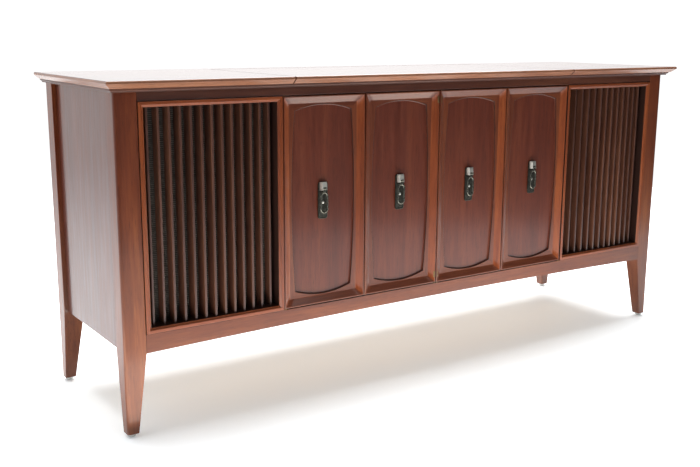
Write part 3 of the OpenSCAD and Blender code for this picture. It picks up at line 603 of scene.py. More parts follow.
def upright(node):
    """The foot, top, radius and height of a node that is round about an upright axis.

    Foot and top are places in metres. Radius and height are in millimetres.
    """
    low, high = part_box(node)
    x, y = (low.x + high.x) / 2, (low.y + high.y) / 2
    return Vector((x, y, low.z)), Vector((x, y, high.z)), (high.x - low.x) / 2 / MM, (high.z - low.z) / MM


def fluted_ring(place, radius, up, depth=0.0, flutes=36):
    """A ring around a knurled rim, in millimetres about a place. A depth of 0 leaves it round."""
    ring = []
    for i in range(4 * flutes):
        r, a = radius - depth * (0.5 - 0.5 * math.cos(math.pi * i / 2)), 2 * math.pi * i / (4 * flutes)
        ring.append(place + Vector((r * math.cos(a), r * math.sin(a), up)) * MM)
    return ring


def extrude_outline(outline, axis, start, end):
    """A prism along an axis. The outline's points are in the other two axes, in x, y, z order."""
    def place(a, b, along_axis):
        return {"x": (along_axis, a, b), "y": (a, along_axis, b), "z": (a, b, along_axis)}[axis]
    return loft([[place(a, b, at) for a, b in outline] for at in (start, end)])


def repaint(material, *nodes):
    """Gives CAD nodes another material."""
    for name in nodes:
        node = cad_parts[name]
        node.data.materials.clear()
        node.data.materials.append(material)


def soften(radius, *nodes):
    """Rounds the edges of CAD nodes without changing their meshes."""
    for name in nodes:
        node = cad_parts[name]
        weld = node.modifiers.new("weld", "WELD")
        weld.merge_threshold = 1e-5
        bevel = node.modifiers.new("round_edges", "BEVEL")
        bevel.width = radius
        bevel.segments = 2
        bevel.limit_method = "ANGLE"
        bevel.angle_limit = math.radians(35)
        normals = node.modifiers.new("even_normals", "WEIGHTED_NORMAL")
        normals.keep_sharp = True


# ---------- Cabinet ----------

FRONT_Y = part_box("door_1")[0].y
LEG_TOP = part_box("side_panel_left")[0].z
GLIDE_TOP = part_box("foot_glides")[1].z


def post_section(width, depth, inset):
    """A post's section, drawn from its outer corner, which has a large round. The others have small ones."""
    large, small = 7 * MM, 1.4 * MM
    eased = small - min(inset, small * 0.6)
    points = arc((large, large), large - inset, 180, 270, 7)
    points += arc((width - small, small), eased, 270, 360, 3)
    points += arc((width - small, depth - small), eased, 0, 90, 3)
    points += arc((small, depth - small), eased, 90, 180, 3)
    return points


def make_post(node, right, rear):
    """A corner post that tapers from the leg's top to its foot, on the two inner sides only."""
    low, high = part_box(node)
    foot = 26 * MM
    full_w, full_d = high.x - low.x, high.y - low.y
    outer = Vector((high.x if right else low.x, high.y if rear else low.y))
    inward = Vector((-1 if right else 1, -1 if rear else 1))
    soft = 5 * MM
    levels = [(GLIDE_TOP, 0.9 * MM), (GLIDE_TOP + 0.4 * MM, 0.3 * MM), (GLIDE_TOP + 1.2 * MM, 0)]
    levels += [(LEG_TOP - soft, 0), (LEG_TOP - soft / 3, 0), (LEG_TOP + soft / 2, 0), (high.z, 0)]
    rings = []
    for z, inset in levels:
        share = min(1.0, (z - GLIDE_TOP) / (LEG_TOP - GLIDE_TOP))
        section = post_section(foot + (full_w - foot) * share, foot + (full_d - foot) * share, inset)
        rings.append([(outer.x + inward.x * u, outer.y + inward.y * v, z) for u, v in section])
    finish_mesh(f"{node}_wood", loft(rings), "cabinet", post_wood, [node])


for rear, end in ((0, "front"), (1, "rear")):
    for right, side in ((0, "left"), (1, "right")):
        make_post(f"post_{end}_{side}", right, rear)


def make_board(node, material):
    """A plain board with softly rounded edges in place of a CAD board."""
    low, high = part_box(node)
    finish_mesh(f"{node}_wood", rounded_box(low, high, 0.8 * MM), "cabinet", material, [node])


for side in SIDES:
    make_board(f"side_panel_{side}", panel_z)
# The frieze under the top gets the darker wood: painted shade from the top's overhang.
make_board("front_top_rail", frieze_wood)
make_board("well_front_board", panel_x)
make_board("top_rear_strip", top_wood)


def make_bottom_rail():
    """The rail under the doors, with a shallow arch along its lower edge."""
    low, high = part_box("front_bottom_rail")
    arch, steps = 9 * MM, 48
    outline = []
    for i in range(steps + 1):
        u = 2 * i / steps - 1
        outline.append((high.x * u, low.z + arch * (1 - u * u)))
    outline += [(high.x, high.z), (low.x, high.z)]
    bm = extrude_outline(outline, "y", low.y, high.y)
    round_edges(bm, 1.2 * MM)
    finish_mesh("front_bottom_rail_wood", bm, "cabinet", rail_wood, ["front_bottom_rail"])


make_bottom_rail()


# ---------- Top ----------

SLAB_BAND = 6 * MM
SLAB_UNDERCUT = 12 * MM
SLAB_NOSE = 3.2 * MM
SEAM_EASE = 0.7 * MM


def paint_by_normal(bm, choices):
    """Gives each face the index of the direction that it faces most, from (direction, index) pairs."""
    bmesh.ops.recalc_face_normals(bm, faces=bm.faces)
    for face in bm.faces:
        face.material_index = max(choices, key=lambda c: face.normal.dot(Vector(c[0])))[1]


def make_slab(node, body, cut_left, cut_right):
    """A top slab whose free edges have a round nose and a narrow band over an undercut bevel."""
    low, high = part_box(node)
    band_foot = high.z - SLAB_BAND
    levels = [(low.z, SLAB_UNDERCUT), (band_foot - 0.4 * MM, 0.4 * MM), (band_foot + 0.3 * MM, 0)]
    levels += [(high.z - SLAB_NOSE + up, SLAB_NOSE - out) for out, up in arc((0, 0), SLAB_NOSE, 0, 90, 5)]
    rings = []
    for z, cut in levels:
        x0 = low.x + (cut if cut_left else SEAM_EASE)
        x1 = high.x - (cut if cut_right else SEAM_EASE)
        rings.append([(x0, low.y + cut, z), (x1, low.y + cut, z), (x1, high.y, z), (x0, high.y, z)])
    bm = loft(rings)
    round_edges(bm, 0.6 * MM, 2, 40)
    under, front, end, face, seam = range(5)
    # The front and end faces get the much lighter edge wood, a painted highlight.
    paint_by_normal(bm, [((0, 0, 1), face), ((0, 0, -1), under), ((0, -1, 0), front), ((0, 1, 0), front),
                         ((1, 0, 0), end if cut_right else seam), ((-1, 0, 0), end if cut_left else seam),
                         ((0, -0.64, -0.77), front), ((0.64, 0, -0.77), end), ((-0.64, 0, -0.77), end)])
    # The ends that meet at the lid's seams get the dark frieze wood: painted shade in the seam gaps.
    finish_mesh(f"{node}_wood", bm, body, [panel_x, edge_x, edge_y, top_wood, frieze_y], [node])


make_slab("top_left", "cabinet", 1, 0)
make_slab("top_right", "cabinet", 0, 1)
make_slab("lid", "lid", 0, 0)


def make_moulding():
    """A coved moulding under the slabs, mitred at the front corners."""
    low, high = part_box("top_moulding")
    inner_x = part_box("side_panel_right")[0].x
    inner_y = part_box("front_top_rail")[1].y
    height = high.z - low.z
    profile = [(5.0, 0.0), (4.6, 0.5), (4.6, 1.4), (4.2, 2.4), (3.3, 3.5), (2.0, 4.3), (0.9, 4.7),
               (0.9, 5.6), (0.3, 5.9), (0.0, 6.4), (0.0, height / MM)]
    outer = [(back * MM, low.z + up * MM) for back, up in profile]
    rings = []
    for x_side, y_end in ((-1, "rear"), (-1, "front"), (1, "front"), (1, "rear")):
        ring = []
        for back, z in outer:
            x = x_side * (high.x - back)
            ring.append((x, high.y if y_end == "rear" else low.y + back, z))
        y_in = high.y if y_end == "rear" else inner_y
        ring += [(x_side * inner_x, y_in, high.z), (x_side * inner_x, y_in, low.z)]
        rings.append(ring)
    bm = loft(rings, material_of=lambda r, i: 1 if r == 1 else 0)
    # The moulding's darker wood is painted shade under the top.
    finish_mesh("top_moulding_wood", bm, "cabinet", [moulding_y, moulding_x],
                ["top_moulding"], 28)


make_moulding()


# ---------- Doors ----------

# Measures of a door in millimetres, from its outer edge to its sunk field
DOOR_EDGE = 1.6
DOOR_RIM = 3
BEVEL_WIDTH = 15
BEVEL_DEPTH = 9
FIELD_DEPTH = 5
FIELD_MARGIN = 35
SIDE_BOW = 9
END_RISE = 13.5
LONG_STEPS = 28
SHORT_STEPS = 14


def both_halves(half):
    """A ring from its bottom and right sides. Its top and left sides are the same, turned half round."""
    return half + [(-x, -z) for x, z in half]


def rectangle_ring(a, b):
    """Points around a rectangle of half sizes a and b: bottom, right, top and left side in turn."""
    return both_halves([(-a + 2 * a * i / SHORT_STEPS, -b) for i in range(SHORT_STEPS)]
                       + [(a, -b + 2 * b * i / LONG_STEPS) for i in range(LONG_STEPS)])


def barrel_ring(a, b, grow):
    """Points around the sunk field: four arcs through the corners (a, b), grown or shrunk a little."""
    side_r = (b * b + SIDE_BOW * SIDE_BOW) / (2 * SIDE_BOW)
    end_r = (a * a + END_RISE * END_RISE) / (2 * END_RISE)
    side_c, end_c = a + SIDE_BOW - side_r, b + END_RISE - end_r
    side_r, end_r = side_r + grow, end_r + grow
    x, z = a, b
    for _ in range(12):
        x = side_c + math.sqrt(side_r * side_r - z * z)
        z = end_c + math.sqrt(end_r * end_r - x * x)
    side_turn, end_turn = math.asin(z / side_r), math.asin(x / end_r)
    half = []
    for i in range(SHORT_STEPS):
        t = end_turn * (2 * i / SHORT_STEPS - 1)
        half.append((end_r * math.sin(t), -end_c - end_r * math.cos(t)))
    for i in range(LONG_STEPS):
        t = side_turn * (2 * i / LONG_STEPS - 1)
        half.append((side_c + side_r * math.cos(t), side_r * math.sin(t)))
    return both_halves(half)


def fill_ring(bm, loop, index):
    """Fills a four-sided ring of vertices with a grid of quads that blends its sides."""
    m, n = SHORT_STEPS, LONG_STEPS
    low = loop[0:m + 1]
    right = loop[m:m + n + 1]
    high = list(reversed(loop[m + n:2 * m + n + 1]))
    left = [loop[0]] + list(reversed(loop[2 * m + n:2 * m + 2 * n]))
    grid = [[None] * (m + 1) for _ in range(n + 1)]
    for j in range(n + 1):
        for i in range(m + 1):
            if j in (0, n):
                grid[j][i] = (low if j == 0 else high)[i]
            elif i in (0, m):
                grid[j][i] = (left if i == 0 else right)[j]
            else:
                u, v = i / m, j / n
                sides = (1 - v) * low[i].co + v * high[i].co + (1 - u) * left[j].co + u * right[j].co
                corners = ((1 - u) * (1 - v) * low[0].co + u * (1 - v) * low[m].co
                           + (1 - u) * v * high[0].co + u * v * high[m].co)
                grid[j][i] = bm.verts.new(sides - corners)
    add_grid(bm, grid, index)


def make_door(k):
    """A dished door: rim, mitred bevel, flat land, and a sunk field with bowed sides."""
    low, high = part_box(f"door_{k}")
    face = Vector(((low.x + high.x) / 2, low.y, (low.z + high.z) / 2))
    a, b, thick = (high.x - low.x) / 2 / MM, (high.z - low.z) / 2 / MM, (high.y - low.y) / MM
    rings = [(rectangle_ring(a - 0.8, b - 0.8), thick), (rectangle_ring(a, b), thick - 0.8)]
    for turn in (0, 30, 60, 90):
        inset = DOOR_EDGE * (1 - math.cos(math.radians(turn)))
        rings.append((rectangle_ring(a - inset, b - inset), DOOR_EDGE * (1 - math.sin(math.radians(turn)))))
    foot, slope = DOOR_RIM + BEVEL_WIDTH, BEVEL_DEPTH / BEVEL_WIDTH
    for inset, depth in ((DOOR_RIM - 0.5, 0), (DOOR_RIM + 0.1, 0.12), (DOOR_RIM + 0.7, 0.7 * slope),
                         (foot - 1, BEVEL_DEPTH - slope), (foot - 0.1, BEVEL_DEPTH - 0.15),
                         (foot + 0.9, BEVEL_DEPTH)):
        rings.append((rectangle_ring(a - inset, b - inset), depth))
    sunk = BEVEL_DEPTH + FIELD_DEPTH
    for grow, depth in ((1.4, BEVEL_DEPTH), (0.6, BEVEL_DEPTH + 0.18), (0.15, BEVEL_DEPTH + 0.65),
                        (0, BEVEL_DEPTH + 1.4), (-0.2, sunk - 0.8), (-0.6, sunk - 0.2), (-1.4, sunk)):
        rings.append((barrel_ring(a - FIELD_MARGIN, b - FIELD_MARGIN, grow), depth))
    placed = [[face + Vector((x, depth, z)) * MM for x, z in ring] for ring, depth in rings]
    first_bevel_ring, last_bevel_ring, first_field_ring = 6, 10, len(rings) - 4
    stile, field, rail, bevel, step = range(5)

    def paint(r, i):
        if r >= first_field_ring:
            return field
        # The step down to the field gets the dark recess wood: painted shade.
        if r > last_bevel_ring + 1:
            return step
        if i % (SHORT_STEPS + LONG_STEPS) < SHORT_STEPS:
            return rail
        # The right bevels and the left bevel of the first door are painted lighter, a painted highlight; the
        # other left bevels are darker, in the stile wood
        light = k == 1 or i < SHORT_STEPS + LONG_STEPS
        return bevel if light and first_bevel_ring <= r <= last_bevel_ring else stile

    bm = bmesh.new()
    loops = add_loft(bm, placed, caps=(False, False), material_of=paint)
    fill_ring(bm, loops[-1], field)
    fill_ring(bm, loops[0], field)
    finish_mesh(f"door_{k}_wood", bm, f"door_{k}", [door_z, panel_z, door_x, bevel_z, recess],
                [f"door_{k}"], 50)


for k in DOORS:
    make_door(k)


# ---------- Grilles ----------

def add_mitred_member(bm, outer, profile, side):
    """One member of a mitred frame. The profile is (distance in from the outer edge, distance back).

    Its two sides, the first and the last but one of the profile's edges, get the second material.
    """
    x0, z0, x1, z1, y = outer
    joint = 0.08 * MM
    first, last = [], []
    for inset, back in profile:
        if side in ("bottom", "top"):
            z = z0 + inset if side == "bottom" else z1 - inset
            first.append((x0 + inset + joint, y + back, z))
            last.append((x1 - inset - joint, y + back, z))
        else:
            x = x0 + inset if side == "left" else x1 - inset
            first.append((x, y + back, z0 + inset + joint))
            last.append((x, y + back, z1 - inset - joint))
    add_loft(bm, [first, last], material_of=lambda r, i: 1 if i in (0, len(profile) - 2) else 0)


def make_grille_frame(side):
    """A mitred frame with a rounded outer edge and a stepped inner lip: its rails, then its stiles."""
    low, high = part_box(f"grille_frame_{side}")
    width, deep, r = 12 * MM, high.y - low.y, 1.2 * MM
    profile = [(0, deep)] + arc((r, r), r, 180, 270, 4)
    profile += mm((6.6, 0), (7.2, 0.15), (7.7, 0.6), (10.2, 3.4), (10.5, 3.6), (11, 3.7), (11.6, 3.9),
                  (12, 4.5))
    profile.append((width, deep))
    outer = (low.x, low.z, high.x, high.z, low.y)
    for name, members, material in (("rails", ("bottom", "top"), frame_x),
                                    ("stiles", ("left", "right"), bevel_z)):
        bm = bmesh.new()
        for member in members:
            add_mitred_member(bm, outer, profile, member)
        replaced = [f"grille_frame_{side}"] if name == "rails" else []
        finish_mesh(f"grille_{name}_{side}", bm, "cabinet", [material, inner_side], replaced, 30)


FIN_COUNT = 13
FIN_THICK = 5.5 * MM
FIN_BOW = 10 * MM
CLOTH_GAP = 1.3 * MM


def make_fins(side):
    """Upright fins with rounded front edges, the middle one furthest forward."""
    low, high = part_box(f"grille_fins_{side}")
    pitch = (high.x - low.x - FIN_THICK) / (FIN_COUNT - 1)
    mid = (FIN_COUNT - 1) / 2
    r = 1.5 * MM
    half = FIN_THICK / 2
    parts = []
    for i in range(FIN_COUNT):
        x = low.x + half + i * pitch
        front = low.y + FIN_BOW * ((i - mid) / mid) ** 2
        outline = [(x - half, high.y)]
        outline += arc((x - half + r, front + r), r, 180, 270, 4)
        outline += arc((x + half - r, front + r), r, 270, 360, 4)
        outline.append((x + half, high.y))
        parts.append(extrude_outline(outline, "z", low.z, high.z))
    bm = join_bmesh(parts)
    # The sides get the lighter copy and the front edges the darker one: painted light and shade by the way a
    # face points.
    paint_by_normal(bm, [((0, -1, 0), 0), ((0, 1, 0), 0), ((1, 0, 0), 1), ((-1, 0, 0), 1)])
    finish_mesh(f"grille_fins_{side}_wood", bm, "cabinet", [fin_edge, fin_side],
                [f"grille_fins_{side}"])


CLOTH_MARGIN = 12.2 * MM
RIB_PITCH = 4.1 * MM
cloth_material = grille_cloth("grille_cloth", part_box("grille_frame_left")[0].z + CLOTH_MARGIN, RIB_PITCH)


def make_cloth(side):
    """Dark ribbed cloth, stretched over the baffle behind the fins."""
    low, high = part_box(f"grille_frame_{side}")
    baffle_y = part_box("speaker_baffles")[0].y
    x0, x1 = low.x + CLOTH_MARGIN, high.x - CLOTH_MARGIN
    z0, z1 = low.z + CLOTH_MARGIN, high.z - CLOTH_MARGIN
    height, per_rib, columns = 0.35 * MM, 6, 10
    rows = round((z1 - z0) / RIB_PITCH) * per_rib
    bm = bmesh.new()
    grid, length, before = [], 0.0, None
    for j in range(rows + 1):
        z = z0 + (z1 - z0) * j / rows
        y = baffle_y - CLOTH_GAP + height * math.cos(2 * math.pi * j / per_rib)
        if before:
            length += math.hypot(z - before[0], y - before[1])
        before = (z, y)
        grid.append([bm.verts.new((x0 + (x1 - x0) * i / columns, y, z)) for i in range(columns + 1)])
    add_grid(bm, grid)
    cloth = finish_mesh(f"grille_cloth_{side}", bm, "cabinet", cloth_material, sharp=80)


for side in SIDES:
    make_grille_frame(side)
    make_fins(side)
    make_cloth(side)


# ---------- Pulls ----------

DROP_EYE = 3 * MM


def round_rectangle(a, b, radius, steps=5):
    """Points around a rectangle of half sizes a and b with round corners, counter-clockwise."""
    points = []
    for cx, cz, start in ((a, -b, 270), (a, b, 0), (-a, b, 90), (-a, -b, 180)):
        centre = (cx - math.copysign(radius, cx), cz - math.copysign(radius, cz))
        points += arc(centre, radius, start, start + 90, steps)
    return points


def add_dome(bm, place, radius, height, direction=(0, -1, 0), steps=20, slot=0.0, material=0):
    """A domed screw head or stud on a surface, with a dark slot across it if slot is its half width."""
    turn = Vector((0, 0, 1)).rotation_difference(Vector(direction)).to_matrix()
    place = Vector(place)
    rings = []
    for r, h in ((1.0, 0), (1.0, 0.25), (0.92, 0.55), (0.72, 0.82), (0.4, 0.97)):
        rings.append([place + turn @ Vector((radius * r * math.cos(2 * math.pi * i / steps),
                                             radius * r * math.sin(2 * math.pi * i / steps), height * h))
                      for i in range(steps)])
    add_loft(bm, rings, material_of=lambda r, i: material, cap_material=material)
    if slot:
        half = radius * 0.78
        corners = [(-half, -slot), (half, -slot), (half, slot), (-half, slot)]
        levels = [[place + turn @ Vector((x, y, height * share)) for x, y in corners]
                  for share in (0.60, 1.01)]
        add_loft(bm, levels, material_of=lambda r, i: 1, cap_material=1)


def make_pull_plate(k):
    """The cast plate with its raised rim, the hinge block and the stud behind the ring."""
    low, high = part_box(f"pull_plate_{k}")
    drop_low, drop_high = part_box(f"pull_drop_{k}")
    cx, cz, back = (low.x + high.x) / 2, (low.z + high.z) / 2, high.y
    half_w, half_h, corner = (high.x - low.x) / 2, (high.z - low.z) / 2, 6 * MM
    rings = []
    for inset, out in mm((0.2, 0), (0, 0.3), (0, 2.3), (0.25, 2.8), (0.8, 3), (2, 3), (2.5, 2.8),
                         (2.9, 2.2), (3.3, 1.9)):
        outline = round_rectangle(half_w - inset, half_h - inset, max(corner - inset, 1 * MM))
        rings.append([(cx + x, back - out, cz + z) for x, z in outline])
    bm = loft(rings)
    floor_y = back - 1.9 * MM
    add_dome(bm, (cx, floor_y, low.z + 7 * MM), 2.0 * MM, 1.0 * MM)
    # The stud gets the bright pewter, a painted highlight.
    add_dome(bm, (cx, floor_y, drop_low.z + 26 * MM), 3.6 * MM, 3.2 * MM, material=1)
    finish_mesh(f"pull_plate_{k}_cast", bm, f"door_{k}", [pewter, worn_and_highlight_pewter],
                [f"pull_plate_{k}"], 30)
    block, ear = 9.5 * MM, 4.7 * MM
    pin_z = drop_high.z - DROP_EYE
    foot, gap_top, top = pin_z - 3.5 * MM, pin_z + 3.6 * MM, pin_z + 15.5 * MM
    sections = []
    for y, half, slant in ((back - 2 * MM, block, 0), (low.y + 6 * MM, block, 0.12),
                           (low.y, 5.9 * MM, 0.12)):
        outline = [(-half, foot), (-ear, foot), (-ear, gap_top), (ear, gap_top), (ear, foot), (half, foot),
                   (half, top), (-half, top)]
        sections.append([(cx + x, y + (z - foot) * slant, z) for x, z in outline])
    bm = loft(sections)
    round_edges(bm, 0.6 * MM, 3)
    # The block gets the bright pewter, a painted highlight on it.
    finish_mesh(f"pull_block_{k}", bm, f"door_{k}", worn_and_highlight_pewter)


def make_pull_drop(k):
    """The drop: an oval ring of round section on a flat tongue, with an eye for the pin."""
    low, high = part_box(f"pull_drop_{k}")
    cx, cy = (low.x + high.x) / 2, (low.y + high.y) / 2
    pin_z = high.z - DROP_EYE
    outer, inner, run = 11 * MM, 6.5 * MM, 15 * MM
    cz = low.z + run + outer
    mid, half, thick = (outer + inner) / 2, (outer - inner) / 2, 1.8 * MM
    path = [(x, z, run) for x, z in arc((0, 0), 1, 0, 180, 14)]
    path += [(x, z, -run) for x, z in arc((0, 0), 1, 180, 360, 14)]
    turns = [2 * math.pi * i / 12 for i in range(12)]
    bm = bmesh.new()
    loops = []
    for nx, nz, shift in path:
        reaches = [mid + half * math.cos(t) for t in turns]
        loops.append([bm.verts.new((cx + nx * reach, cy + thick * math.sin(t), cz + shift + nz * reach))
                      for t, reach in zip(turns, reaches)])
    for loop, after in zip(loops, loops[1:] + loops[:1]):
        for i in range(len(turns)):
            j = (i + 1) % len(turns)
            bm.faces.new((loop[i], loop[j], after[j], after[i]))
    tongue_foot = (cz + run + outer - pin_z) / MM - 2.5
    tongue = box_at((cx, cy, pin_z), (-4.4, -1.6, tongue_foot), (4.4, 1.6, 0), 0.8)
    eye = lathe([(1.25, -4.4), (3, -4.4), (3, 4.4), (1.25, 4.4), (1.25, -4.4)], (cx, cy, pin_z), "x", 24)
    finish_mesh(f"pull_drop_{k}_cast", join_bmesh([bm, tongue, eye]), f"pull_{k}",
                ring_pewter, [f"pull_drop_{k}"], 35)


for k in DOORS:
    make_pull_plate(k)
    make_pull_drop(k)


def make_knuckles(k, sign):
    """Two brass hinge knuckles around the pivot of a middle door, near its bottom and its top."""
    low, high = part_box(f"door_{k}")
    x = (high.x if sign > 0 else low.x) - sign * 3 * MM
    tall, r, cut = 16, 2.9, 0.4
    profile = [(0, 0), (r - cut, 0), (r, cut), (r, tall / 2 - cut), (r - cut, tall / 2),
               (r, tall / 2 + cut), (r, tall - cut), (r - cut, tall), (0, tall)]
    parts = [lathe(profile, (x, FRONT_Y + 2.5 * MM, z), "z", 20) for z in (low.z + 14 * MM, high.z - 30 * MM)]
    finish_mesh(f"door_{k}_knuckles", join_bmesh(parts), f"door_{k}", old_brass)


make_knuckles(2, 1)
make_knuckles(3, -1)


# ---------- Screws ----------

def make_screws(name, places, direction, radius, body="cabinet", material=screw_steel):
    """Slotted round-head screws."""
    bm = bmesh.new()
    for place in places:
        add_dome(bm, place, radius, radius * 0.55, direction, 16, radius * 0.14)
    finish_mesh(name, bm, body, [material, dark_gap])


def back_screw_places():
    """Along the back panel's edges."""
    low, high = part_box("back_panel")
    edge = 7 * MM
    places = []
    for x in spaced(low.x + edge, high.x - edge, 11):
        places += [(x, high.y, low.z + edge), (x, high.y, high.z - edge)]
    for z in spaced(low.z + edge, high.z - edge, 5)[1:-1]:
        places += [(low.x + edge, high.y, z), (high.x - edge, high.y, z)]
    return places


make_screws("back_panel_screws", back_screw_places(), (0, 1, 0), 3.6 * MM)

hinge_low, hinge_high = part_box("lid_hinge_moving_leaf")
make_screws("lid_hinge_screws", [(x, hinge_low.y, hinge_low.z + 6 * MM)
                                 for x in spaced(hinge_low.x + 30 * MM, hinge_high.x - 30 * MM, 9)],
            (0, -1, 0), 2.2 * MM, "lid", brass)


# ---------- Record changer ----------

def make_knob(node):
    """A knob with a plain skirt, a fluted grip, a metal inlay and a bore for its shaft."""
    foot, top, r, height = upright(node)
    grip, bore = r - 3, 3.08
    skirt = lathe([(bore, 0), (r - 0.4, 0), (r, 0.4), (r, 2.6), (r - 0.8, 3.6), (grip + 0.2, 4), (bore, 4),
                   (bore, 0)], foot, "z", 64)
    # Radius, height and depth of the flutes, down the bore and up the outside
    levels = ((bore, height - 4, 0), (bore, 3.9, 0), (grip, 3.9, 0.7), (grip - 0.3, height - 1.6, 0.7),
              (grip - 0.9, height - 0.5, 0.4), (grip - 1.8, height, 0))
    rim = loft([fluted_ring(foot, *level) for level in levels])
    finish_mesh(f"{node}_body", join_bmesh([skirt, rim]), node, brown_plastic, [node], 40)
    disc = grip - 3
    inlay = lathe([(disc, -0.3), (disc, 0.25), (disc - 0.4, 0.5), (disc * 0.5, 0.35), (0, 0.3)], top)
    finish_mesh(f"{node}_inlay", inlay, node, brushed)
    mark = box_at(foot, (-0.7, 0.8 - r, 3), (0.7, -grip - 0.6, 4.1), 0.25)
    finish_mesh(f"{node}_mark", mark, node, ivory)


def make_platter_mat():
    """A ribbed rubber mat on the platter, with a hole for the spindle, and a trim ring around it."""
    _, top, rim, _ = upright("platter")
    top.z += 0.02 * MM
    r, hole = rim - 6, 4.4
    profile = [(hole, 0), (r, 0), (r, 1), (r - 0.5, 1.5), (r - 6, 1.5)]
    rib = r - 7
    while rib > 52:
        profile += [(rib, 0.9), (rib - 1.2, 0.9), (rib - 1.7, 1.5), (rib - 2.9, 1.5)]
        rib -= 3.4
    profile += [(rib, 1), (18, 1), (17, 1.6), (hole + 0.4, 1.6), (hole, 1.2), (hole, 0)]
    finish_mesh("platter_mat", lathe(profile, top, "z", 96), "platter", black_rubber,
                sharp=25)
    trim = [(r + out, up) for out, up in ((0.8, 0), (5.4, 0), (5.6, 0.3), (5.2, 0.5), (1, 0.5), (0.8, 0.3),
                                          (0.8, 0))]
    finish_mesh("platter_trim", lathe(trim, top, "z", 96), "platter", steel)


def make_tonearm():
    """A tapered plastic arm with a weight, a head shell, a finger lift and a cartridge with its stylus."""
    low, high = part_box("tonearm")
    cx = (low.x + high.x) / 2
    turret_top = upright("tonearm_turret")[1]
    pivot_y, pivot_z = turret_top.y, turret_top.z - 6 * MM
    head_y, tip_z = low.y, low.z
    # A place along the arm, then millimetres: how far behind it, half width, half height and rise
    sections = ((pivot_y, 18, 4.4, 4.4, 0), (pivot_y, 9, 8.0, 6.4, 0), (pivot_y, -8.5, 8.0, 6.4, 0),
                (pivot_y, -20, 5.2, 4.6, 0), (pivot_y, -60, 4.6, 4.2, 0), (head_y, 50, 4.2, 4.0, 0),
                (head_y, 36, 5.2, 4.6, -0.5), (head_y, 28, 7.4, 6.2, -2.6), (head_y, 8, 7.8, 6.6, -3.4),
                (head_y, 2.5, 7.0, 5.8, -3.0), (head_y, 0.4, 5.6, 4.4, -2.4))
    rings = []
    for start, along_arm, half_w, half_h, rise in sections:
        outline = round_rectangle(half_w, half_h, min(half_w, half_h) / 2, 3)
        rings.append([(cx + x * MM, start + along_arm * MM, pivot_z + (z + rise) * MM) for x, z in outline])
    finish_mesh("tonearm_body", loft(rings), "arm_tube", ivory, ["tonearm"], 40)
    weight = lathe([(0, 0), (9.6, 0), (10.8, 1.2), (10.8, 5), (10.1, 5.6), (10.1, 7.2), (10.8, 7.8),
                    (10.8, 20.6), (9.6, 21.8), (0, 21.8)], (cx, high.y, pivot_z), "y")
    finish_mesh("tonearm_weight", weight, "arm_tube", steel)
    cell = rounded_box((cx - 5.6 * MM, head_y + 6.5 * MM, tip_z + 3.6 * MM),
                       (cx + 5.6 * MM, head_y + 25 * MM, pivot_z - 8 * MM), 0.8 * MM)
    scale_line = box_at((cx, pivot_y, pivot_z), (-8.2, 10, -0.8), (-7.9, 12, 0.8), 0.1)
    finish_mesh("cartridge", join_bmesh([cell, scale_line]), "arm_tube", brown_plastic)
    needle = lathe([(0, 0), (0.35, 0.6), (0.9, 2.2), (1.6, 4.2), (0, 4.2)],
                   (cx, head_y + 12 * MM, tip_z), "z", 16)
    finish_mesh("stylus", needle, "arm_tube", steel)
    rings = []
    for x, z in ((7, -3), (11, -2.6), (15, -1), (18, 1.6)):
        corners = mm((x, 6, z - 0.5), (x, 12, z - 0.5), (x, 12, z + 0.5), (x, 6, z + 0.5))
        rings.append([Vector((cx, head_y, pivot_z)) + Vector(corner) for corner in corners])
    lift = loft(rings)
    round_edges(lift, 0.3 * MM, 1)
    finish_mesh("finger_lift", lift, "arm_tube", steel)


make_platter_mat()
make_tonearm()
plate_low, plate_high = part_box("changer_plate")
PLATE_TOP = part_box("motor_pulley")[1].z - 14 * MM
make_screws("changer_mounting_screws",
            [(x, y, PLATE_TOP) for x in (plate_low.x + 14 * MM, plate_high.x - 14 * MM)
             for y in (plate_low.y + 14 * MM, plate_high.y - 14 * MM)], (0, 0, 1), 4.0 * MM)


def make_changer_knob():
    """The start knob: a fluted ivory knob on a flat base, with a mark on it."""
    foot, top, r, _ = upright("changer_knob")
    base = Vector((foot.x, foot.y, PLATE_TOP + 0.3 * MM))
    stem_foot = (foot.z - base.z) / MM
    flange = lathe([(0, 0), (r - 0.5, 0), (r, 0.5), (r, 3.2), (r - 1, 4.4), (r - 4, 5), (0, 5)],
                   base, "z", 56)
    grip = loft([fluted_ring(base, r - inset, up, depth, 24)
                 for inset, up, depth in ((4, 4.8, 0.8), (4.4, 14.6, 0.8), (5.2, 15.7, 0.3), (6, 16, 0))])
    stem = lathe([(0, stem_foot), (2.9, stem_foot), (2.9, 0.2), (0, 0.2)], base, "z", 24)
    finish_mesh("changer_knob_body", join_bmesh([flange, grip, stem]), "changer_knob", ivory,
                ["changer_knob"], 40)
    mark = box_at(top, (-0.8, 1.5, -0.3), (0.8, 7.5, 0.3), 0.2)
    finish_mesh("changer_knob_mark", mark, "changer_knob", brown_plastic)


make_changer_knob()


# ---------- Tuner ----------

tuner_low, tuner_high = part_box("tuner_panel")
DIAL_X = (tuner_low.x + tuner_high.x) / 2
PANEL_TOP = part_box("tuning_knob")[0].z - 0.5 * MM
FACE_ANGLE = math.atan2(64, 40)  # the dial's face rises 64 mm over 40 mm
FACE = Matrix.Translation((DIAL_X, 20 * MM, PANEL_TOP)) @ Matrix.Rotation(FACE_ANGLE, 4, "X")
DIAL_REACH = 128 * MM


def to_face(bm):
    """Moves a mesh from the dial's own frame (X along it, Y up its slope, Z outward) to its place."""
    bmesh.ops.transform(bm, matrix=FACE, verts=bm.verts)
    return bm


def add_flat(bm, x0, y0, x1, y1, z):
    """A flat printed rectangle."""
    bm.faces.new([bm.verts.new(p) for p in ((x0, y0, z), (x1, y0, z), (x1, y1, z), (x0, y1, z))])


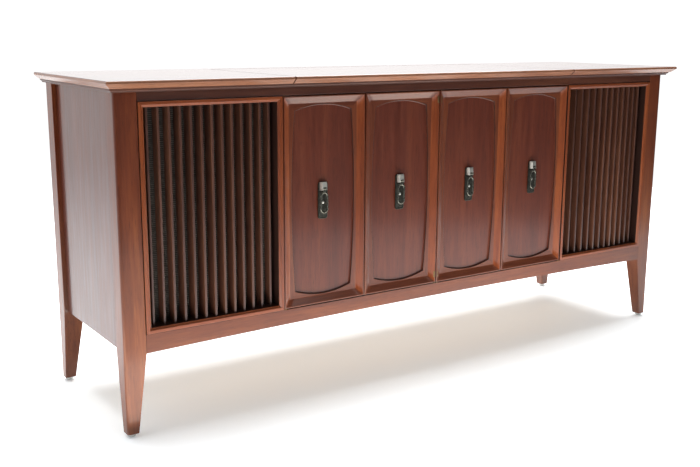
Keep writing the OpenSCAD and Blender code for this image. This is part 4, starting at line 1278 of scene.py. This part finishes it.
def add_number(bm, value, x, y, height, z):
    """A number in plain digits, centred on x, as flat faces."""
    curve = bpy.data.curves.new("digits", "FONT")
    curve.body = str(value)
    curve.size = height * 1.35
    curve.align_x = "CENTER"
    curve.resolution_u = 3
    holder = bpy.data.objects.new("digits", curve)
    bpy.context.scene.collection.objects.link(holder)
    bpy.context.view_layer.update()
    mesh = bpy.data.meshes.new_from_object(holder)
    mesh.transform(Matrix.Translation((x, y, z)))
    bm.from_mesh(mesh)
    bpy.data.objects.remove(holder)
    bpy.data.curves.remove(curve)
    bpy.data.meshes.remove(mesh)


def make_dial():
    """The scale: a black plate behind the window with two rows of numbers and their division marks."""
    plate = box_at((0, 0, 0), (-153, 3, -11), (153, 67, -10.6), 0.1)
    finish_mesh("dial_plate", to_face(plate), "cabinet", dial_black)
    bm = bmesh.new()
    z, reach = -10.5 * MM, DIAL_REACH
    # Height of a row's numbers and of its line, the numbers, and which way its marks point
    rows = ((47, 43, (88, 92, 96, 100, 104, 108), 1), (17, 25, (55, 60, 70, 80, 100, 120, 140, 160), -1))
    for text_y, line_y, numbers, way in rows:
        add_flat(bm, -reach - 6 * MM, line_y * MM, reach + 6 * MM, line_y * MM + 0.5 * MM, z)
        for i, x in enumerate(spaced(-reach, reach, 5 * (len(numbers) - 1) + 1)):
            tall = (3.6 if i % 5 == 0 else 1.9) * MM
            y0, y1 = (line_y * MM, line_y * MM + tall) if way > 0 else (line_y * MM - tall, line_y * MM)
            add_flat(bm, x - 0.25 * MM, y0, x + 0.25 * MM, y1, z)
        for number, x in zip(numbers, spaced(-reach, reach, len(numbers))):
            add_number(bm, number, x, text_y * MM, 4.6 * MM, z)
    add_flat(bm, -reach, 33.8 * MM, reach, 34.2 * MM, z)
    finish_mesh("dial_scale", to_face(bm), "cabinet", dial_print)
    pane = box_at((0, 0, 0), (-152, 12, -3.9), (152, 62, -3.1), 0.15)
    finish_mesh("dial_window", to_face(pane), "cabinet", clear_glass)
    outer = round_rectangle(153.5, 26.5, 4)
    inner = round_rectangle(149.6, 22.6, 1.5)
    rings = [mm(*[(x, y + 37, out) for x, y in ring])
             for ring, out in ((outer, 0), (outer, 1.0), (inner, 1.35), (inner, -2.9))]
    bezel = loft(rings, caps=(False, False))
    finish_mesh("dial_bezel", to_face(bezel), "cabinet", steel)


make_dial()
for knob in ("tuning_knob", "volume_knob", "selector_knob"):
    make_knob(knob)


def make_knob_rings():
    """Printed division marks on the panel, around the volume and selector knobs."""
    bm = bmesh.new()
    for node, marks, sweep in (("volume_knob", 11, 290), ("selector_knob", 4, 150)):
        foot, _, r, _ = upright(node)
        base = Vector((foot.x, foot.y, PANEL_TOP + 0.06 * MM))
        for turn in spaced(270 + sweep / 2, 270 - sweep / 2, marks):
            out = Vector((math.cos(math.radians(turn)), math.sin(math.radians(turn)), 0))
            across = Vector((-out.y, out.x, 0)) * 0.3 * MM
            near, far = base + out * (r + 3) * MM, base + out * (r + 6.5) * MM
            bm.faces.new([bm.verts.new(p)
                          for p in (near - across, near + across, far + across, far - across)])
    finish_mesh("panel_marks", bm, "cabinet", dial_black)


make_knob_rings()
make_screws("tuner_panel_screws",
            [(x, y, PANEL_TOP) for x in (tuner_low.x + 5 * MM, tuner_high.x - 5 * MM)
             for y in (tuner_low.y + 8 * MM, (tuner_low.y + tuner_high.y) / 2, tuner_high.y - 8 * MM)],
            (0, 0, 1), 2.6 * MM)


# ---------- Amplifier ----------

def make_amplifier():
    """The chassis with its two transformers and four glass valves on sockets."""
    low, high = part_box("amplifier")
    deck = low.z + 44 * MM
    mid_y = (low.y + high.y) / 2
    metal_parts = [rounded_box(low, (high.x, high.y, deck), 1.2 * MM)]
    iron = []
    # Each transformer's two ends, its distance from the chassis's sides, and its height
    for x0, x1, margin, tall in mm((8, 74, 1, 58), (84, 130, 4, 48)):
        a = Vector((low.x + x0, low.y + margin, deck))
        b = Vector((low.x + x1, high.y - margin, deck + tall))
        core_t = (b.y - a.y) * 0.22
        iron.append(rounded_box(a, b, 1.5 * MM))
        metal_parts.append(rounded_box((a.x + 8 * MM, mid_y - core_t, b.z - 0.5 * MM),
                                       (b.x - 8 * MM, mid_y + core_t, b.z), 0.2 * MM))
    glass_parts, base_parts = [], []
    for i in range(4):
        place = (low.x + (154 + 34 * i) * MM, mid_y, deck)
        base_parts.append(lathe([(0, 0), (13, 0), (13, 2), (10.5, 3), (10.5, 10), (0, 10)], place, "z", 32))
        glass_parts.append(lathe([(0, 9), (10, 9), (11.5, 14), (11.5, 56), (9.5, 62), (5, 66), (2, 68),
                                  (0, 68)], place, "z", 32))
        base_parts.append(box_at(place, (-6, -4, 12), (6, 4, 48), 1.5))
    finish_mesh("amplifier_chassis", join_bmesh(metal_parts), "cabinet", zinc,
                ["amplifier"])
    finish_mesh("amplifier_transformers", join_bmesh(iron), "cabinet", iron_black)
    finish_mesh("valve_bases", join_bmesh(base_parts), "cabinet", brown_plastic)
    finish_mesh("valve_glass", join_bmesh(glass_parts), "cabinet", clear_glass)


make_amplifier()


# ---------- CAD nodes that keep their shape ----------

repaint(steel, "foot_glides", "spindle", "record_arm", "tonearm_turret")
repaint(core, "rear_rails", "bottom_board")
repaint(panel_z, "partitions")
repaint(panel_x, "deck_board")
repaint(store_board, "record_compartments")
repaint(pressed, "back_panel")
repaint(black_board, "speaker_baffles")
repaint(brass, "motor_pulley")
repaint(old_brass, "door_pivot_pins", "lid_hinge_fixed_leaf", "lid_hinge_moving_leaf")
repaint(zinc, "speaker_drivers", "motor", "tuner_chassis")
repaint(cream, "changer_plate")
repaint(spun, "platter")
repaint(brushed, "tuner_panel")
repaint(red_plastic, "dial_pointer")
repaint(black_rubber, "idler_wheel", "mains_bush")
soften(0.5 * MM, "partitions", "deck_board", "rear_rails", "bottom_board", "record_compartments",
       "tuner_panel")
soften(0.8 * MM, "changer_plate", "platter", "record_arm", "tonearm_turret", "motor", "foot_glides",
       "idler_wheel")


# ---------- Lights ----------

area_light("overhead", (0.55, 1.0, 2.5), (0.55, 1.0, 0.0), 3.6, 2.0, 192)
area_light("edge_strip", (0.5, -0.15, 2.4), (0.5, -0.15, 0.0), 3.8, 0.35, 60)
area_light("front", (0.6, -3.4, 2.6), (-0.2, 0.0, 0.5), 2.6, 1.2, 24)
bounce = area_light("floor_bounce", (-0.45, -0.43, 0.02), (-0.45, -0.43, 1.0), 2.2, 0.38, 11,
                    (1, 0.92, 0.82))
bounce.visible_camera = False
